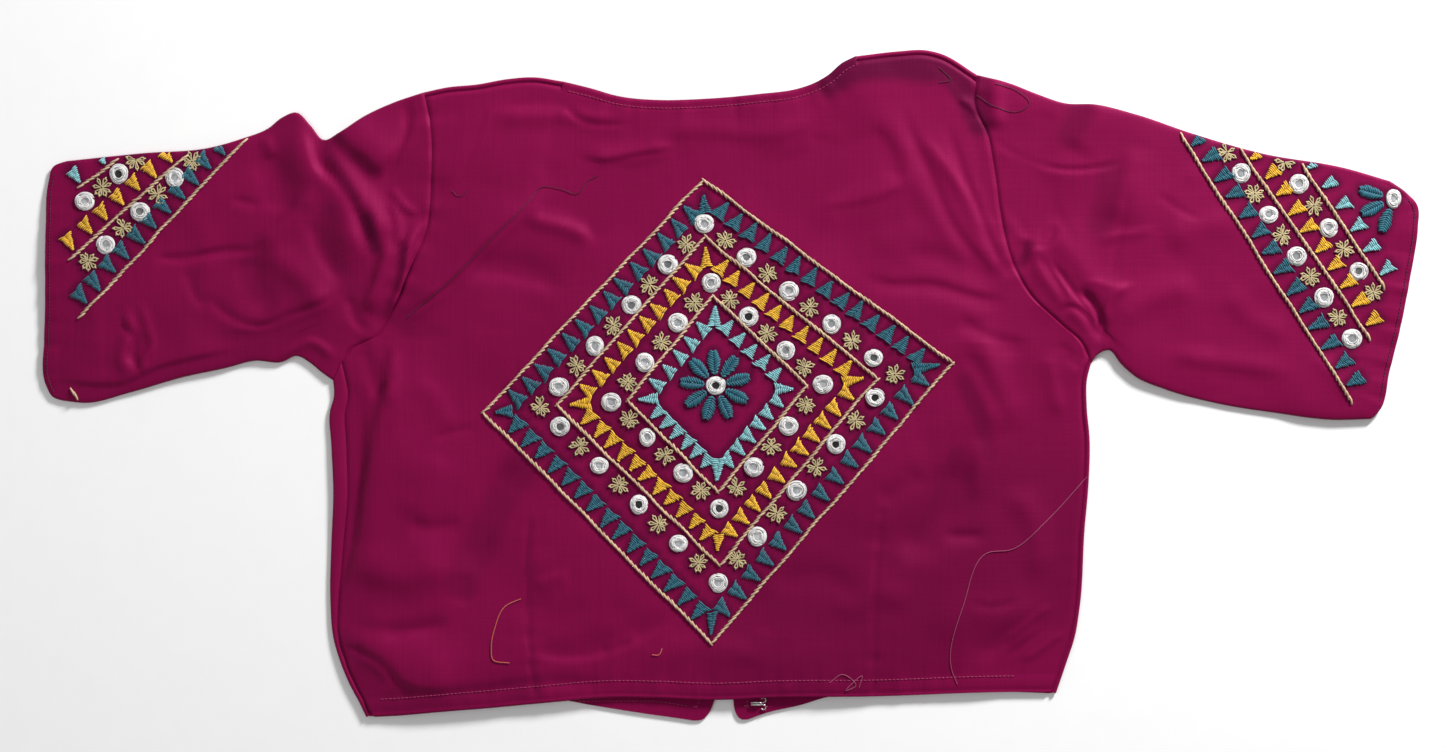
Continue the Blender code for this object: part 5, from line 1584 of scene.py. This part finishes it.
# Loose threads, and along one crease a thin dark thread as its painted shadow line.
def strays_and_crease_line(ground):
    made = {}
    for route, colour in STRAYS_AND_CREASE_LINE:
        line = even(smooth(route), 60)
        height = ground.heights(line) + 0.25 + 0.15 * (1 + waves(lengths(line), 9.0, len(route)))
        path = np.concatenate([line, height[:, None]], axis=-1)[None]
        made.setdefault(colour, Threads(70)).add(path, STRAY_AND_CREASE_RADIUS[colour], 5)
    for colour, threads in made.items():
        threads.mesh(f"thread_line_{colour}", colour)


# Hooks.
def arc(centre, radius, start, end, steps):
    turns = np.radians(np.linspace(start, end, steps + 1))
    return np.stack([centre[0] + radius * np.cos(turns), centre[1] + radius * np.sin(turns)], axis=1)


def hook(number, y):
    """One hook of a single wire: a loop, a shank, the bill out and back, a shank and a loop."""
    over = HOOK_BED + 2 * HOOK_BEND
    back = HOOK_TIP_X + HOOK_LENGTH
    half = HOOK_WIRES_APART / 2
    loop = arc((back, half + HOOK_LOOP), HOOK_LOOP, 150, -90, 16)
    bend = arc((HOOK_TIP_X + WIRE / 2 + HOOK_BEND, HOOK_BED + HOOK_BEND), HOOK_BEND, 270, 90, 10)
    tip = arc((HOOK_TIP_X + HOOK_BILL, 0.0), half, 90, 0, 6)
    one_side = [(x, y + out, HOOK_BED) for x, out in loop]
    one_side += [(x, y + half, z) for x, z in bend]
    one_side += [(x, y + out, over) for x, out in tip]
    other = [(x, 2 * y - py, z) for x, py, z in reversed(one_side[:-1])]
    threads = Threads(80 + number)
    route = np.array(one_side + other)
    threads.add(at_lengths(route, np.linspace(0, lengths(route)[-1], 90))[None], WIRE / 2, 10)
    piece = threads.mesh(f"hook_wire_{number}", "wire")
    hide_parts(f"hook_{number}")
    return back


def hooks():
    """The hooks, each sewn down by stitches through its two loops."""
    sewing = Threads(90)
    for number, y in enumerate(HOOK_ROWS_Y, 1):
        back = hook(number, y)
        for hand in (-1, 1):
            middle = np.array([back, y + hand * (HOOK_WIRES_APART / 2 + HOOK_LOOP)])
            for angle in (-60, 10, 75):
                way = turned(np.array([1.0, 0.0]), angle)
                t = np.linspace(0, math.pi, 9)
                flat = middle + way * (HOOK_LOOP - 1.1 * np.cos(t))[:, None]
                z = HOOK_BED - 0.9 + 1.55 * np.sin(t)
                sewing.add(np.concatenate([flat, z[:, None]], axis=-1)[None], 0.22, 5)
    sewing.mesh("hook_sewing", "seam_thread")


# Camera, light and floor.
def camera():
    data = bpy.data.cameras.new("camera")
    data.sensor_width = SENSOR
    data.lens = SENSOR * (CAMERA_HEIGHT - CLOTH * 3) / FIELD_WIDTH
    made = bpy.data.objects.new("camera", data)
    made.location = (CAMERA_OVER[0] * METRE, CAMERA_OVER[1] * METRE, CAMERA_HEIGHT * METRE)
    bpy.context.scene.collection.objects.link(made)
    bpy.context.scene.camera = made


def area_light(name, place, size, power):
    data = bpy.data.lights.new(name, "AREA")
    data.shape = "DISK"
    data.size = size
    data.energy = power
    made = bpy.data.objects.new(name, data)
    made.location = place
    made.rotation_euler = (-Vector(place)).to_track_quat("-Z", "Y").to_euler()
    bpy.context.scene.collection.objects.link(made)


def studio():
    world = bpy.data.worlds.new("studio")
    world.use_nodes = True
    world.node_tree.nodes["Background"].inputs["Color"].default_value = (1.0, 1.0, 1.0, 1.0)
    world.node_tree.nodes["Background"].inputs["Strength"].default_value = 0.32
    bpy.context.scene.world = world
    area_light("key", (1.05, 1.45, 0.85), 0.45, 66.0)
    area_light("fill", (-1.2, -0.3, 1.6), 1.2, 6.0)
    mesh = bpy.data.meshes.new("floor")
    corners = [(x * FLOOR_HALF, y * FLOOR_HALF, FLOOR_Z) for x, y in ((-1, -1), (1, -1), (1, 1), (-1, 1))]
    mesh.from_pydata(corners, [], [(0, 1, 2, 3)])
    material, tree, shader = new_material("floor")
    speckle = noise_node(tree, 60.0, 4.0).outputs["Fac"]
    tone = mixed(tree, speckle, COLOURS["floor_low"], COLOURS["floor_high"])
    tree.links.new(tone, shader.inputs["Base Color"])
    shader.inputs["Roughness"].default_value = 0.9
    mesh.materials.append(material)
    floor = bpy.data.objects.new("floor", mesh)
    bpy.context.scene.collection.objects.link(floor)
    bpy.context.scene.view_settings.view_transform = "Standard"


camera()
studio()
back = back_panel()
fronts = {side: front_panel(side) for side in ("left", "right")}
sleeves = {side: sleeve(side) for side in ("left", "right")}
painted_shade = [cloth_piece("back", back)]
for side in ("left", "right"):
    cloth_piece(f"front_{side}", fronts[side])
    painted_shade.append(cloth_piece(f"sleeve_{side}", sleeves[side]))
top = Ground([back, *sleeves.values(), *fronts.values()])
# Painted shade on the back and the sleeves, round the embroidery and along the SHADED routes.
paint_shade(painted_shade, [back, *sleeves.values()], embroider("embroidery", top))
machine_stitches(top, Ground(fronts.values()))
strays_and_crease_line(top)
hooks()
